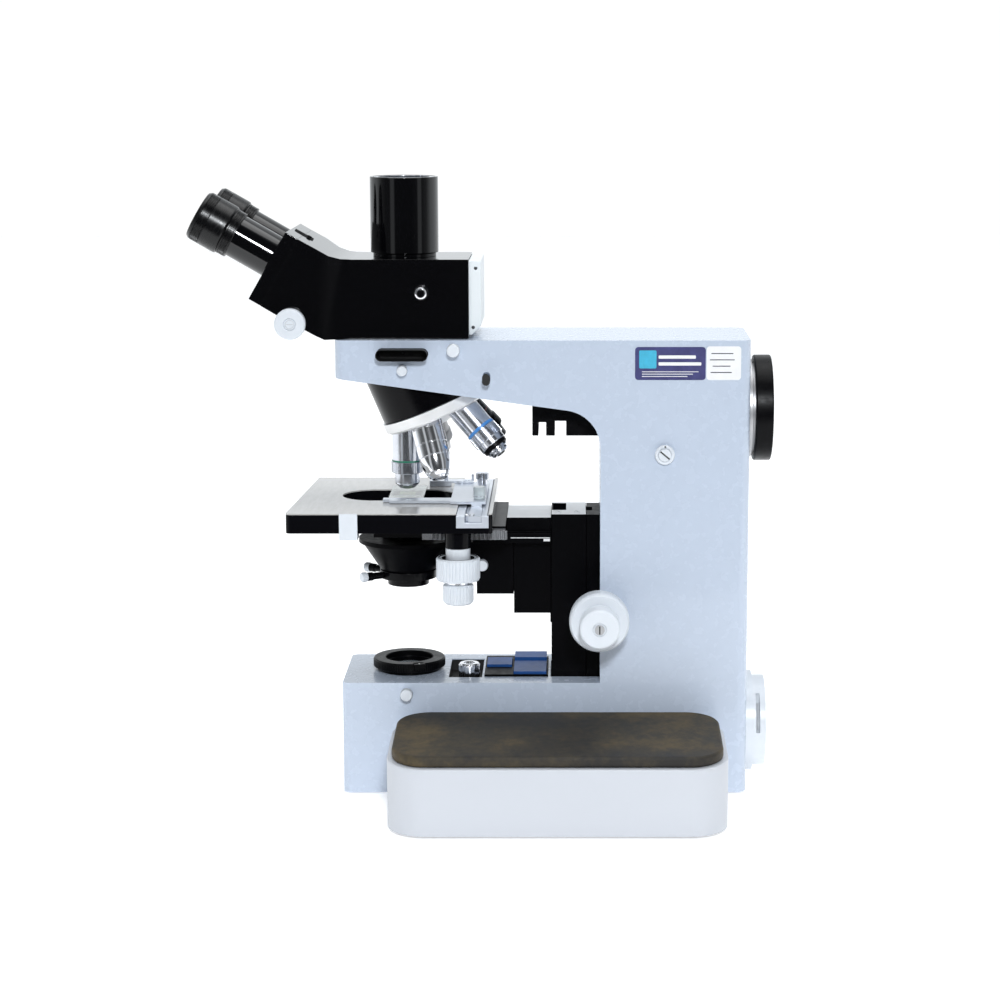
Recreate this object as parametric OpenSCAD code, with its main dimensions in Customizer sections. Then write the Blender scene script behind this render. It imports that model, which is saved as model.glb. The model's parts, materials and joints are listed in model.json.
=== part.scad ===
// Large laboratory microscope with a trinocular head, a five-place revolving
// nosepiece, a mechanical stage and two arm rests.
// +Z is up, -Y is the eyepiece side, +X is the right-hand side of the user.
// All lengths are in millimetres. Y values in the sections below are measured
// from the optical axis; axis_y moves the whole object to the middle of its box.

/* [Frame] */
// Optical axis, measured from the middle of the object's box
axis_y = -57.77; // [-80:0.01:-40]

/* [Stand] */
// Width of base, column and limb
stand_w = 90; // [70:1:120]
// Front of the base, ahead of the optical axis
base_front = 47; // [40:1:60]
// Front of the limb, ahead of the optical axis
limb_front = 49; // [40:1:60]
// Front face of the column
column_front = 144; // [120:1:180]
// Rear face of the column
column_back = 253.3; // [200:1:300]
// Gap under the casting
foot_h = 2; // [1:0.5:8]
// Top of the base
base_top = 86; // [60:1:120]
// Top of the limb
limb_top = 341; // [280:1:400]
// Height of the limb's underside at its front edge
limb_lip = 313.2; // [290:0.5:330]
// Slope of the limb's underside
limb_slope = 7.9; // [0:0.1:15]
// Radius of the arch between limb and column
arch_r = 28; // [10:1:50]
// Wall thickness of the casting
wall = 8; // [5:0.5:12]
// Thickness of the column's front wall
front_wall = 14; // [10:1:20]
// Rounding of the vertical corners
corner_r = 8; // [2:1:20]

/* [Rear ports] */
// Height of the upper port
upper_port_z = 286; // [260:1:310]
// Radius of the dust cap
cap_r = 39.3; // [30:0.1:45]
// Depth of the dust cap
cap_h = 13; // [8:0.5:20]
// Height of the lower lamp port
lamp_port_z = 46; // [40:1:60]
// Outer radius of the lamp port collar
lamp_r = 37.8; // [30:0.1:45]
// Bore radius of the lamp port collar
lamp_bore_r = 27; // [20:0.5:30]
// Depth of the lamp port collar
lamp_h = 15.5; // [10:0.5:25]

/* [Arm rests] */
// Inner side of an arm rest
rest_in = 47; // [46:0.5:60]
// Outer side of an arm rest
rest_out = 154; // [120:1:180]
// Front end of an arm rest
rest_front = -8.5; // [-40:0.5:20]
// Rear end of an arm rest
rest_back = 234.5; // [180:0.5:260]
// Height of the body at its inner side
rest_z_in = 58; // [40:0.5:80]
// Height of the body at its outer side
rest_z_out = 51; // [40:0.5:80]
// Corner radius of the body
rest_r = 28; // [10:1:40]
// Thickness of the pad
pad_t = 8; // [4:0.5:14]
// Step between the body's edge and the pad's
pad_inset = 3.5; // [1:0.5:8]

/* [Field lens and base top] */
// Radius of the field diaphragm ring
field_r = 27.2; // [20:0.1:35]
// Top of the field diaphragm ring
field_top = 95.6; // [90:0.1:110]
// Radius of the field lens
field_lens_r = 16.4; // [12:0.1:20]

/* [Focusing drive] */
// Height of the focusing shaft
focus_z = 138.6; // [120:0.1:160]
// Distance of the focusing shaft behind the optical axis
focus_y = 143.2; // [130:0.1:150]
// Radius of the coarse knob
coarse_r = 21.9; // [15:0.1:30]
// Radius of the fine knob
fine_r = 14.4; // [8:0.1:20]
// Half width of the focusing slide and its guide
slide_hw = 25; // [18:0.5:30]
// Front of the focusing slide
slide_front = 108; // [100:0.5:120]
// Bottom of the focusing slide
slide_bottom = 83; // [70:0.5:90]
// Top of the focusing slide
slide_top = 209.5; // [200:0.5:215]

/* [Stage] */
// Half width of the stage plate
stage_hw = 79; // [60:1:100]
// Front edge of the stage plate
stage_front = -83; // [-100:1:-60]
// Rear edge of the stage plate
stage_back = 66; // [50:1:90]
// Top of the stage plate
stage_top = 219.7; // [200:0.1:240]
// Thickness of the stage plate
stage_t = 14.5; // [8:0.5:20]
// Thickness of the fixed stage bed
bed_t = 8.4; // [5:0.1:12]
// Position of the drive knobs to the right of the optical axis
drive_x = 65; // [50:0.5:80]
// Position of the drive knobs behind the optical axis
drive_y = 40.5; // [30:0.5:60]

/* [Condenser] */
// Outer radius of the condenser holder's flange
cond_flange_r = 36.8; // [30:0.1:45]
// Outer radius of the condenser barrel
cond_r = 19.5; // [15:0.1:25]

/* [Nosepiece] */
// Height at which the objective axes meet
apex_z = 335; // [320:0.5:350]
// Tilt of the turret axis
turret_tilt = 22.9; // [15:0.1:30]
// Distance from that point to the objective shoulders
shoulder_l = 63; // [50:0.5:80]
// Radius of the turret
turret_r = 40; // [30:0.5:50]

/* [Head] */
// Top of the prism housing
head_top = 398.8; // [380:0.1:420]
// Half width of the prism housing at the rear
head_hw = 37; // [30:0.5:50]
// Half width of the prism housing at the front
head_front_hw = 49; // [40:0.5:60]
// Radius of the photo tube
photo_r = 25; // [20:0.5:30]
// Bore radius of the photo tube
photo_bore_r = 19; // [15:0.5:22]
// Top of the photo tube
photo_top = 457; // [430:0.5:480]
// Half the distance between the eyepieces
ocular_x = 33; // [28:0.5:38]
// Radius of the eyepiece tubes
ocular_r = 15.9; // [14:0.1:18]

/* [Hidden] */
// Which node is written; "all" draws every one

// clearances and small sizes
gap = 0.3;
run = 0.05;
eps = 1;
trim = 5;
tooth_m = 1;
pitch = PI * tooth_m;

// stand
half_w = stand_w / 2;
cav_hw = half_w - wall;
under_front = limb_lip;
under_tan = tan(limb_slope);
arch_cy = column_front - arch_r;
arch_cz = limb_z(arch_cy) - arch_r / cos(limb_slope);
seat_r = 30;
seat_z = limb_top - 5;
beam_r = 14;
limb_cav_y = 88;
limb_cav_z = 304;
guide_back = 151;
guide_face = 134.2;
rack_slot_y = 138.5;
guide_top = 209.3;
boss_r = 11;
boss_x = 56;
plate_t = 3;
recess_x = [-30, 28];
recess_y = [31, 56];
filter_x = [-34, 26];
filter_y = [57.5, 105.5];
side_slot = [18.9, 4.3, 0.3, 331.1];
// (Y, Z) of the screws, the switch and the hole in the right side
nose_screw = [0.3, 319.5];
head_screw = [37.5, 334.2];
base_knob = [0.8, 78.1];
switch_at = [191, 257.5];
side_hole = [61.3, 313.7];
shank_in = 5.5;
bracket_y = [94, 150];
bracket_z = 267.6;
bracket_hw = 20;

// turret
body_end = 49.5;
ring_start = 50;
seat_ring_r = 9.6;
body_r = 38.8;
body_top = 322;

// stage
stage_bottom = stage_top - stage_t;
bed_top = stage_bottom - 0.4;
bed_bottom = bed_top - bed_t;
slot_hw = 24;
stage_slant = 9;
slot_y = [-48.5, 37];
neck_r = 9.6;
neck_bottom = 192.7;
rack_face = drive_x - 7;
rail_y = [40, 63.3];
rail_top = stage_top - 1.3;
rail_bottom = rail_top - 9;
groove_y = [46.3, 58];
arm_hw = 30;
arm_top_hw = 25.5;
arm_top = 207.1;
bed_back = 74.6;
finger_x = -40;
finger_y = 39;
x_rack_y = drive_y + 7 + 1.2;

// head
face_y = -95.8;
face_z = 395.4;
face_half = 27.7;
ocular_v = 5.8;
ocular_front = 61.9;
plate_depth = 10;
seam = 0.05;
sleeve_r = 9.6;
ipd_y = -79.5;
ipd_z = 353.9;
ipd_r = 11.2;
pull_rod_at = [14.2, 375.1];

// ---------- shared shapes ----------

// height of the limb's underside at a distance y behind the axis
function limb_z(y) = limb_lip - (y + limb_front) * tan(limb_slope);

// points of an arc from angle a0 to a1 about a centre
function arc(cx, cy, r, a0, a1, n) = [for (i = [0:n]) let (a = a0 + (a1 - a0) * i / n) [cx + r * cos(a), cy + r * sin(a)]];

// puts a shape drawn from the optical axis into the object's frame
module on_axis() translate([0, axis_y, 0]) children();

// a side outline (Y, Z) made w wide about X = 0
module side(w) rotate([90, 0, 90]) linear_extrude(height = w, center = true) children();

// a cross outline (X, Z) run along Y from y0 to y1
module along_y(y0, y1) translate([0, y1, 0]) rotate([90, 0, 0]) linear_extrude(height = y1 - y0) children();

// a cylinder along X from x0 to x1
module rod_x(x0, x1, r, y, z) translate([x0, y, z]) rotate([0, 90, 0]) cylinder(h = x1 - x0, r = r, $fn = 64);

// a cylinder along Y from y0 to y1
module rod_y(y0, y1, r, z) translate([0, y0, z]) rotate([-90, 0, 0]) cylinder(h = y1 - y0, r = r, $fn = 96);

// a box from its low corner to its high corner
module block(lo, hi) translate(lo) cube([hi[0] - lo[0], hi[1] - lo[1], hi[2] - lo[2]]);

// a rounded rectangle from (x0, y0) to (x1, y1)
module round_rect(x0, y0, x1, y1, r) {
  translate([x0 + r, y0]) square([x1 - x0 - 2 * r, y1 - y0]);
  translate([x0, y0 + r]) square([x1 - x0, y1 - y0 - 2 * r]);
  for (x = [x0 + r, x1 - r], y = [y0 + r, y1 - r]) translate([x, y]) circle(r = r, $fn = 48);
}

// a slot outline with round ends along its first axis
module stadium(half_l, half_h) {
  square([2 * (half_l - half_h), 2 * half_h], center = true);
  for (s = [-1, 1]) translate([s * (half_l - half_h), 0]) circle(r = half_h, $fn = 48);
}

// an outline with straight flanks for one tooth, root at y = 0
module tooth() polygon([[-1.02, -0.3], [-0.98, 0], [-0.28, 2.1], [0.28, 2.1], [0.98, 0], [1.02, -0.3]]);

// teeth of a pinion with n teeth, one gap centred on +X
module pinion(n, h) {
  root_r = n * tooth_m / 2 - 1.15;
  linear_extrude(height = h) {
    circle(r = root_r, $fn = 48);
    for (i = [0:n - 1]) rotate((i + 0.5) * 360 / n - 90) translate([0, root_r]) tooth();
  }
}

// straight teeth along +X, centred on x = 0, roots at y = 0
module rack_teeth(i0, i1, h) linear_extrude(height = h) for (i = [i0:i1]) translate([i * pitch, 0]) tooth();

// a turned part from a list of [radius, height] points
module turned(points, fn = 72) rotate_extrude($fn = fn) polygon(points);

// ---------- stand ----------

// the outline runs past the plan at both ends, so the plan alone trims them
module casting_outline() polygon(concat(
  [[-base_front, foot_h], [column_back + trim, foot_h], [column_back + trim, limb_top], [-limb_front - trim, limb_top],
   [-limb_front - trim, limb_z(-limb_front - trim)]],
  arc(arch_cy, arch_cz, arch_r, 90 - limb_slope, 0, 12),
  [[column_front, base_top], [-base_front, base_top]]));

module casting_body() intersection() {
  side(stand_w + 2 * trim) casting_outline();
  translate([0, 0, -trim]) linear_extrude(height = limb_top + 2 * trim)
    round_rect(-half_w, -limb_front, half_w, column_back, corner_r);
}

// one cavity through the base, the column and the rear part of the limb
module casting_hollow() side(2 * cav_hw) polygon([
  [-base_front + wall, -eps], [column_back - wall, -eps], [column_back - wall, limb_top - wall], [limb_cav_y, limb_top - wall],
  [limb_cav_y, limb_cav_z], [column_front + front_wall, limb_cav_z], [column_front + front_wall, base_top - wall],
  [-base_front + wall, base_top - wall]]);

module casting_ports() {
  // field lens, recess, filter magazine and the slide's pocket in the base top
  translate([0, 0, base_top - wall - eps]) cylinder(h = wall + 3, r = field_lens_r - 2.4, $fn = 72);
  translate([0, 0, base_top - 4]) cylinder(h = wall, r = field_lens_r + 0.1, $fn = 72);
  block([recess_x[0], recess_y[0], base_top - wall - eps], [recess_x[1], recess_y[1], base_top + eps]);
  block([filter_x[0], filter_y[0], base_top - wall - eps], [filter_x[1], filter_y[1], base_top + eps]);
  block([-slide_hw - 0.6, slide_front - 0.8, slide_bottom - 26], [slide_hw + 0.6, column_front + eps, base_top + eps]);
  // guide pocket, pinion pocket
  block([-slide_hw - 0.2, column_front - trim, slide_bottom - 26], [slide_hw + 0.2, guide_back + 0.2, guide_top + 0.2]);
  block([-8, guide_back - eps, focus_z - 12], [8, guide_back + 3, focus_z + 12]);
  // rear ports
  rod_y(column_back - wall - eps, column_back + eps, 26, upper_port_z);
  rod_y(column_back - wall - eps, column_back + eps, lamp_bore_r - 1, lamp_port_z);
  // head seat, light path, side slot and the pocket of the nosepiece
  translate([0, 0, seat_z]) cylinder(h = 5 + eps, r = seat_r, $fn = 96);
  translate([0, 0, body_top - eps]) cylinder(h = limb_top, r = beam_r, $fn = 64);
  translate([-30, side_slot[2], side_slot[3]]) rotate([90, 0, 90]) linear_extrude(height = 30 + half_w + eps) stadium(side_slot[0], side_slot[1]);
  nose_shape(body_r + 0.1, -30, body_end + 12, body_top + 0.1);
  turret_frame() translate([0, 0, -body_end - 80]) cylinder(h = 80, r = turret_r + 1.4, $fn = 96);
  // lamp bracket pocket and the access hole in the side
  block([-bracket_hw - 0.1, bracket_y[0] - 0.1, bracket_z - eps], [bracket_hw + 0.1, bracket_y[1] + 0.1, 300.1]);
  translate([half_w - 6, side_hole[0], side_hole[1]]) rotate([90, 90, 90]) linear_extrude(height = 7) stadium(4.3, 2.8);
}

module screw_holes() {
  for (p = [nose_screw, head_screw, base_knob]) rod_x(half_w - shank_in - 0.4, half_w + eps, 2.4, p[0], p[1]);
  rod_x(half_w - 9, half_w + eps, 3.5, switch_at[0], switch_at[1]);
}

module stand_casting() color("LightSteelBlue") on_axis() {
  difference() {
    union() {
      difference() {
        casting_body();
        casting_hollow();
      }
      for (s = [0, 1]) mirror([s, 0, 0]) rod_x(slide_hw + 0.6, boss_x, boss_r, focus_y, focus_z);
    }
    casting_ports();
    screw_holes();
    rod_x(-boss_x - eps, boss_x + eps, 5.4, focus_y, focus_z);
  }
}

module base_plate() color("DimGray") on_axis()
  block([-cav_hw + 0.2, -base_front + wall + 0.2, foot_h], [cav_hw - 0.2, column_back - wall - 0.2, foot_h + plate_t]);

// rubber feet: four under the base, four under each arm rest
module feet() color("Black") on_axis() {
  for (x = [-26, 26], y = [-26, 232]) translate([x, y, 0]) cylinder(h = foot_h, r = 9, $fn = 40);
  for (s = [-1, 1], x = [rest_in + 18, rest_out - 18], y = [rest_front + 18, rest_back - 18])
    translate([s * x, y, 0]) cylinder(h = foot_h, r = 6, $fn = 40);
}

// ---------- arm rests ----------

// a slab with rounded corners whose top falls outwards, from z0 up to the body's top plus rise
module rest_slab(inset, r, z0, rise) intersection() {
  translate([0, 0, -eps]) linear_extrude(height = 120)
    round_rect(rest_in + inset, rest_front + inset, rest_out - inset, rest_back - inset, r);
  along_y(rest_front - eps, rest_back + eps)
    polygon([[rest_in, z0[0]], [rest_out, z0[1]], [rest_out, rest_z_out + rise], [rest_in, rest_z_in + rise]]);
}

module armrest_shape() {
  difference() {
    rest_slab(0, rest_r, [foot_h, foot_h], 0);
    rest_slab(4, rest_r - 4, [-eps, -eps], -5);
  }
  // posts over the feet, from the ground plane into the top wall
  for (x = [[rest_in + 18, 54], [rest_out - 18, 51]], y = [rest_front + 18, rest_back - 18])
    translate([x[0], y, foot_h]) cylinder(h = x[1] - foot_h, r = 8, $fn = 40);
}

module armrest_right() color("Ivory") on_axis() armrest_shape();

module armrest_left() color("Ivory") on_axis() mirror([1, 0, 0]) armrest_shape();

module pad_shape() rest_slab(pad_inset, rest_r - pad_inset, [rest_z_in, rest_z_out], pad_t);

module armrest_pads() color("DarkOliveGreen") on_axis() for (s = [0, 1]) mirror([s, 0, 0]) pad_shape();

// ---------- rear ports ----------

module lamp_mount() color("Ivory") on_axis() difference() {
  union() {
    rod_y(column_back, column_back + lamp_h, lamp_r - 3.5, lamp_port_z);
    rod_y(column_back, column_back + 6, lamp_r, lamp_port_z);
  }
  rod_y(column_back - eps, column_back + lamp_h + eps, lamp_bore_r, lamp_port_z);
  block([20, column_back + 8, lamp_port_z - 1.5], [40, column_back + 11, lamp_port_z + 26]);
}

module port_flange() color("Silver") on_axis() difference() {
  union() {
    rod_y(column_back, column_back + 3, 36.5, upper_port_z);
    rod_y(column_back, column_back + 10, 33, upper_port_z);
  }
  rod_y(column_back - eps, column_back + 11, 26, upper_port_z);
}

module dust_cap() color("Black") on_axis() difference() {
  rod_y(column_back + 4.6, column_back + 4.6 + cap_h, cap_r, upper_port_z);
  rod_y(column_back + 4, column_back + cap_h + 1, 33 + run, upper_port_z);
}

// ---------- base top ----------

module field_lens() color("LightCyan", 0.5) on_axis() translate([0, 0, base_top - 4])
  turned([[0, 0], [field_lens_r, 0], [field_lens_r, 5], [field_lens_r - 2, 6.5], [9, 8.2], [0, 8.8]]);

module field_ring() color("Black") on_axis() {
  translate([0, 0, base_top + gap]) turned([[17, 0], [24, 0], [24, 2.1], [field_r, 2.1], [field_r, field_top - base_top - gap],
    [17.8, field_top - base_top - gap], [17.8, 5], [17, 5]], 96);
  // index lug on the near rim
  rotate([0, 0, 20]) block([field_r - 6, -4.2, field_top - 5], [field_r + 1.2, 4.2, field_top]);
}

module field_mirror() color("Silver") on_axis() side(52)
  polygon([[-30, foot_h + plate_t], [-30, 76], [30, 16], [30, foot_h + plate_t]]);

module filter_carrier() color("Black") on_axis() difference() {
  block([filter_x[0] + 0.2, filter_y[0] + 0.2, base_top - wall], [filter_x[1] - 0.2, filter_y[1] - 0.2, base_top + 1.6]);
  block([-22, filter_y[0] + 1.2, base_top - 4], [2, 78, base_top + 5]);
  block([-34.5, 79.4, base_top - 4], [-14, filter_y[1] - 1.2, base_top + 5]);
  block([-10, 79.4, base_top - 4], [24.4, filter_y[1] - 1.2, base_top + 5]);
}

module filter_glasses() color("SteelBlue") on_axis() {
  block([-21.8, filter_y[0] + 1.4, base_top - 4], [1.8, 77.8, base_top + 3.4]);
  block([-33.6, 79.6, base_top - 4], [-14.2, filter_y[1] - 1.4, base_top + 5.2]);
  block([-9.8, 79.6, base_top - 4], [24.2, filter_y[1] - 1.4, base_top + 3.6]);
}

module mirror_screw() color("Silver") on_axis() translate([14, 46, 0]) difference() {
  union() {
    translate([0, 0, 66]) cylinder(h = 13, r = 3, $fn = 32);
    translate([0, 0, 79]) cylinder(h = 3, r = 5.5, $fn = 40);
    translate([0, 0, 82]) cylinder(h = 12, r = 8, $fn = 48);
  }
  translate([0, 0, 90]) cylinder(h = 5, r = 4, $fn = 40);
}

// ---------- limb details ----------

module lamp_bracket() color("Black") on_axis() difference() {
  block([-bracket_hw, bracket_y[0], bracket_z], [bracket_hw, bracket_y[1], 300]);
  // the casting is left clear along the arch
  for (y = [[98.5, 104.2, 277.6], [110.6, 119, 278.6]])
    block([-bracket_hw - eps, y[0], bracket_z - eps], [bracket_hw + eps, y[1], y[2]]);
}

// knob on a thin shank that points along +X from the limb's side
module side_knob(y, z, r, h, shank) {
  rod_x(half_w - shank_in, half_w + 1, shank, y, z);
  rod_x(half_w + 0.5, half_w + h, r, y, z);
}

module slot_screw() color("Silver") on_axis() side_knob(nose_screw[0], nose_screw[1], 3.9, 7, 2.2);

module head_clamp_screw() color("Silver") on_axis() side_knob(head_screw[0], head_screw[1], 4.8, 9, 2.2);

module base_screw() color("Silver") on_axis() side_knob(base_knob[0], base_knob[1], 4.6, 8, 2.2);

module lock_switch() color("Silver") on_axis() {
  rod_x(half_w - 8, half_w + 1, 3.1, switch_at[0], switch_at[1]);
  rod_x(half_w + 0.5, half_w + 3.5, 7.3, switch_at[0], switch_at[1]);
  difference() {
    rod_x(half_w + 3.5, half_w + 5, 4.7, switch_at[0], switch_at[1]);
    translate([half_w + 5, switch_at[0], switch_at[1]]) rotate([45, 0, 0]) cube([1.6, 12, 1.1], center = true);
  }
}

module service_labels() color("White") on_axis() {
  block([half_w, 169, 312.2], [half_w + 0.3, 220.2, 336.3]);
  block([half_w, 220.8, 312.2], [half_w + 0.3, 245.9, 336.8]);
}

// ---------- nosepiece ----------

// frame whose -Z runs down the turret's axis, with its origin at the apex
module turret_frame() translate([0, 0, apex_z]) rotate([turret_tilt, 0, 0]) children();

// tilted cylinder between two distances from the apex, cut level at top_z
module nose_shape(r, a0, a1, top_z) intersection() {
  turret_frame() translate([0, 0, -a1]) cylinder(h = a1 - a0, r = r, $fn = 96);
  translate([-60, -60, 200]) cube([120, 160, top_z - 200]);
}

module nosepiece_body() color("Black") on_axis() difference() {
  nose_shape(body_r, -30, body_end, body_top);
  translate([0, 0, 250]) cylinder(h = 100, r = 10, $fn = 48);
  turret_frame() translate([0, 0, -body_end - eps]) cylinder(h = 13, r = 6.3, $fn = 48);
}

// frame of the k-th objective: -Z runs down its axis from the apex
module objective_frame(k) turret_frame() rotate([0, 0, 72 * k]) rotate([-turret_tilt, 0, 0]) children();

module nosepiece_turret() color("Silver") on_axis() difference() {
  turret_frame() {
    dip = shoulder_l * cos(turret_tilt) + shoulder_l * sin(turret_tilt) * tan(turret_tilt);
    turned([[0, -ring_start], [turret_r, -ring_start], [turret_r, -ring_start - 7], [turret_r - 2, -ring_start - 8.5],
      [turret_r - 6, -dip + (turret_r - 6) * tan(turret_tilt)], [6, -dip + 6 * tan(turret_tilt)], [0, -dip + 3]], 96);
    translate([0, 0, -ring_start - 1]) cylinder(h = 12, r = 6, $fn = 48);
  }
  for (k = [0:4]) objective_frame(k) translate([0, 0, -shoulder_l - eps]) cylinder(h = 26, r = 8, $fn = 48);
}

// an objective from a list of [radius, distance from the shoulder], on the k-th axis
module objective(k, points) on_axis() objective_frame(k) translate([0, 0, -shoulder_l])
  turned(concat([[0, 4.5], [7.9, 4.5], [7.9, 0]], [for (p = points) [p[0], -p[1]]], [[0, -points[len(points) - 1][1]]]), 64);

module objective_1() color("Silver") objective(0, [[10.4, 0], [10.4, 27.2], [11.8, 27.8], [11.8, 36], [9.7, 36.6], [9.7, 43.5], [5, 47]]);

module objective_2() color("Gainsboro") objective(1, [[11.2, 0], [11.2, 19], [10.6, 19.4], [10.6, 20.2], [11.2, 20.6], [10.2, 34], [9.6, 34.4], [7, 43], [5, 44]]);

module objective_3() color("Silver") objective(2, [[10.4, 0], [10.4, 18], [11.9, 18.6], [11.9, 28], [9.8, 28.6], [9.8, 34], [7.4, 42], [5, 43]]);

module objective_4() color("DimGray") objective(3, [[10.4, 0], [10.4, 22], [11.6, 22.6], [11.6, 32], [9, 32.6], [8, 41], [5, 42]]);

module objective_5() color("Gray") objective(4, [[10.4, 0], [10.4, 16], [11.6, 16.6], [11.6, 24], [9, 24.6], [7.5, 33], [5, 34]]);

// ---------- focusing drive ----------

// plan outline of the male dovetail with allowance g taken off
module dovetail(g) polygon([[-11 + g, guide_face + eps], [-11 + g, guide_face], [-15 + g, guide_face - 7 + g],
  [15 - g, guide_face - 7 + g], [11 - g, guide_face], [11 - g, guide_face + eps]]);

module focus_guide() color("Black") on_axis() difference() {
  union() {
    block([-slide_hw, guide_face, base_top - wall + 2], [slide_hw, guide_back, guide_top]);
    translate([0, 0, base_top - wall + 2]) linear_extrude(height = guide_top - base_top + wall - 2) dovetail(0.15);
  }
  block([-7.2, 100, 60], [7.2, rack_slot_y, 250]);
  block([-7.2, 120, focus_z - 12], [7.2, guide_back + eps, focus_z + 12]);
  rod_x(-60, 60, 5 + run, focus_y, focus_z);
}

module focus_slide() color("Black") on_axis() {
  difference() {
    block([-slide_hw, slide_front, slide_bottom], [slide_hw, guide_face - gap, slide_top]);
    translate([0, 0, slide_bottom - eps]) linear_extrude(height = 200) dovetail(0);
    block([-slide_hw + 2, slide_front + 1, slide_top - 8], [8, slide_front + 11, slide_top + eps]);
    block([-10, slide_front - eps, 120], [10, slide_front + 5, 200]);
  }
  // rack in the slide's back
  rack_root = focus_y - 8 - 1.1;
  block([-6, guide_face - 8, 98], [6, rack_root, 192]);
  translate([-6, rack_root, focus_z]) rotate([0, 90, 0]) linear_extrude(height = 12)
    for (i = [-12:16]) translate([-i * pitch, 0]) tooth();
}

module coarse_shaft() color("Silver") on_axis() difference() {
  union() {
    rod_x(-66, 66, 5, focus_y, focus_z);
    translate([-6, focus_y, focus_z]) rotate([0, 90, 0]) rotate([0, 0, -90]) pinion(16, 12);
  }
  rod_x(-67, 67, 3 + run, focus_y, focus_z);
}

module coarse_knobs() color("Ivory") on_axis() for (s = [0, 1]) mirror([s, 0, 0]) difference() {
  union() {
    rod_x(62, 76.5, coarse_r, focus_y, focus_z);
    rod_x(58, 62, 12, focus_y, focus_z);
    rod_x(76.5, 78, coarse_r - 1.5, focus_y, focus_z);
  }
  rod_x(57, 66, 5, focus_y, focus_z);
  rod_x(65, 80, 3.4, focus_y, focus_z);
}

module fine_shaft() color("Silver") on_axis() rod_x(-90, 90, 3, focus_y, focus_z);

module fine_knobs() color("Ivory") on_axis() for (s = [0, 1]) mirror([s, 0, 0]) difference() {
  union() {
    rod_x(78.5, 98.5, fine_r, focus_y, focus_z);
    rod_x(98.5, 99.6, 4.2, focus_y, focus_z);
  }
  rod_x(78, 90, 3, focus_y, focus_z);
  block([98.8, focus_y - 5, focus_z - 0.6], [100, focus_y + 5, focus_z + 0.6]);
}

// ---------- stage ----------

module stage_carrier() color("Black") on_axis() {
  difference() {
    union() {
      block([-20, 80, 133.5], [20, slide_front - gap, bed_bottom]);
      block([-arm_hw, 50, bed_bottom - 8], [arm_hw, slide_front - gap, bed_bottom]);
      block([-arm_top_hw, bed_back + 0.2, bed_bottom - 0.8], [arm_top_hw, slide_front - gap, arm_top]);
      // tongue in the focusing slide
      block([-9.8, slide_front - eps, 124], [9.8, slide_front + 4.8, 196]);
    }
    // groove of the condenser slide
    block([-8, 79, 130], [8, 86, bed_bottom - 8]);
  }
}

module stage_bed() color("Black") on_axis() {
  difference() {
    block([-54, -22, bed_bottom], [48, bed_back, bed_top]);
    translate([0, 0, bed_bottom - eps]) cylinder(h = bed_t + 3, r = 26, $fn = 72);
  }
  // bar and teeth of the Y drive
  difference() {
    block([47, 14, bed_bottom], [rack_face - 1.1, bed_back, bed_top - 1]);
    block([46, 13, bed_top - 1.5], [60, 80, bed_top + eps]);
  }
  translate([rack_face - 1.1, drive_y, bed_bottom + 0.3]) rotate([0, 0, -90]) rack_teeth(-11, 6, bed_t - 1.8);
}

// housing of the coaxial drive under the plate, open towards the rack
module drive_neck() difference() {
  translate([drive_x, drive_y, neck_bottom]) cylinder(h = stage_bottom - neck_bottom, r = neck_r, $fn = 56);
  translate([drive_x, drive_y, neck_bottom + 2]) cylinder(h = 20, r = 8.3, $fn = 48);
  translate([drive_x, drive_y, neck_bottom - eps]) cylinder(h = 20, r = 4.3, $fn = 40);
  block([rack_face - 10, drive_y - 12, neck_bottom + 2.4], [rack_face + 2.4, drive_y + 12, stage_bottom + eps]);
}

module stage_plate() color("DarkGray") on_axis() {
  difference() {
    translate([0, 0, stage_bottom]) linear_extrude(height = stage_t) difference() {
      intersection() {
        round_rect(-stage_hw, stage_front, stage_hw, stage_back, 4);
        polygon([[stage_hw + 5, stage_front - 0.4], [stage_hw + 5, 100], [-stage_hw - 5, 100], [-stage_hw - 5, stage_front + stage_slant]]);
      }
      translate([0, (slot_y[0] + slot_y[1]) / 2]) rotate(90) stadium((slot_y[1] - slot_y[0]) / 2, slot_hw);
    }
    // seat of the guide rail and bore of the X drive
    block([-100, rail_y[0] - 0.1, rail_bottom], [100, rail_y[1] + 0.1, stage_top + eps]);
    translate([drive_x, drive_y, stage_bottom - eps]) cylinder(h = 10, r = 3.3, $fn = 40);
    translate([drive_x, drive_y, rail_top - 5.2]) cylinder(h = 4.4, r = 8.5, $fn = 48);
  }
  drive_neck();
}

module guide_rail() color("Silver") on_axis() {
  difference() {
    block([-stage_hw, rail_y[0], rail_bottom], [stage_hw + 1.2, rail_y[1], rail_top]);
    block([-100, groove_y[0] - 0.2, rail_top - 5.2], [100, groove_y[1] + 0.2, rail_top + eps]);
    translate([drive_x, drive_y, rail_top - 5.2]) cylinder(h = 4.4, r = 8.4, $fn = 48);
    translate([drive_x, drive_y, rail_bottom - eps]) cylinder(h = 8, r = 3.3, $fn = 40);
  }
}

module guide_carriage() color("Silver") on_axis() {
  difference() {
    block([-stage_hw + 2, x_rack_y, rail_top - 5], [stage_hw, groove_y[1], rail_top - 0.4]);
    block([-100, 40, rail_top - 1.4], [100, x_rack_y + 0.4, rail_top]);
  }
  translate([drive_x, x_rack_y, rail_top - 4.8]) rotate([0, 0, 180]) rack_teeth(-3, 44, 3.2);
  // neck, top plate and near arm
  block([-44, 49.5, rail_top - 1], [42, 57, stage_top + 0.4]);
  block([-44, 34, stage_top + 0.4], [42, 60, stage_top + 2.4]);
  block([25.5, -11, stage_top + 0.4], [38.5, 35, stage_top + 2.4]);
  block([25.5, -16, stage_top + 0.4], [33, -10, stage_top + 2.4]);
}

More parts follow.
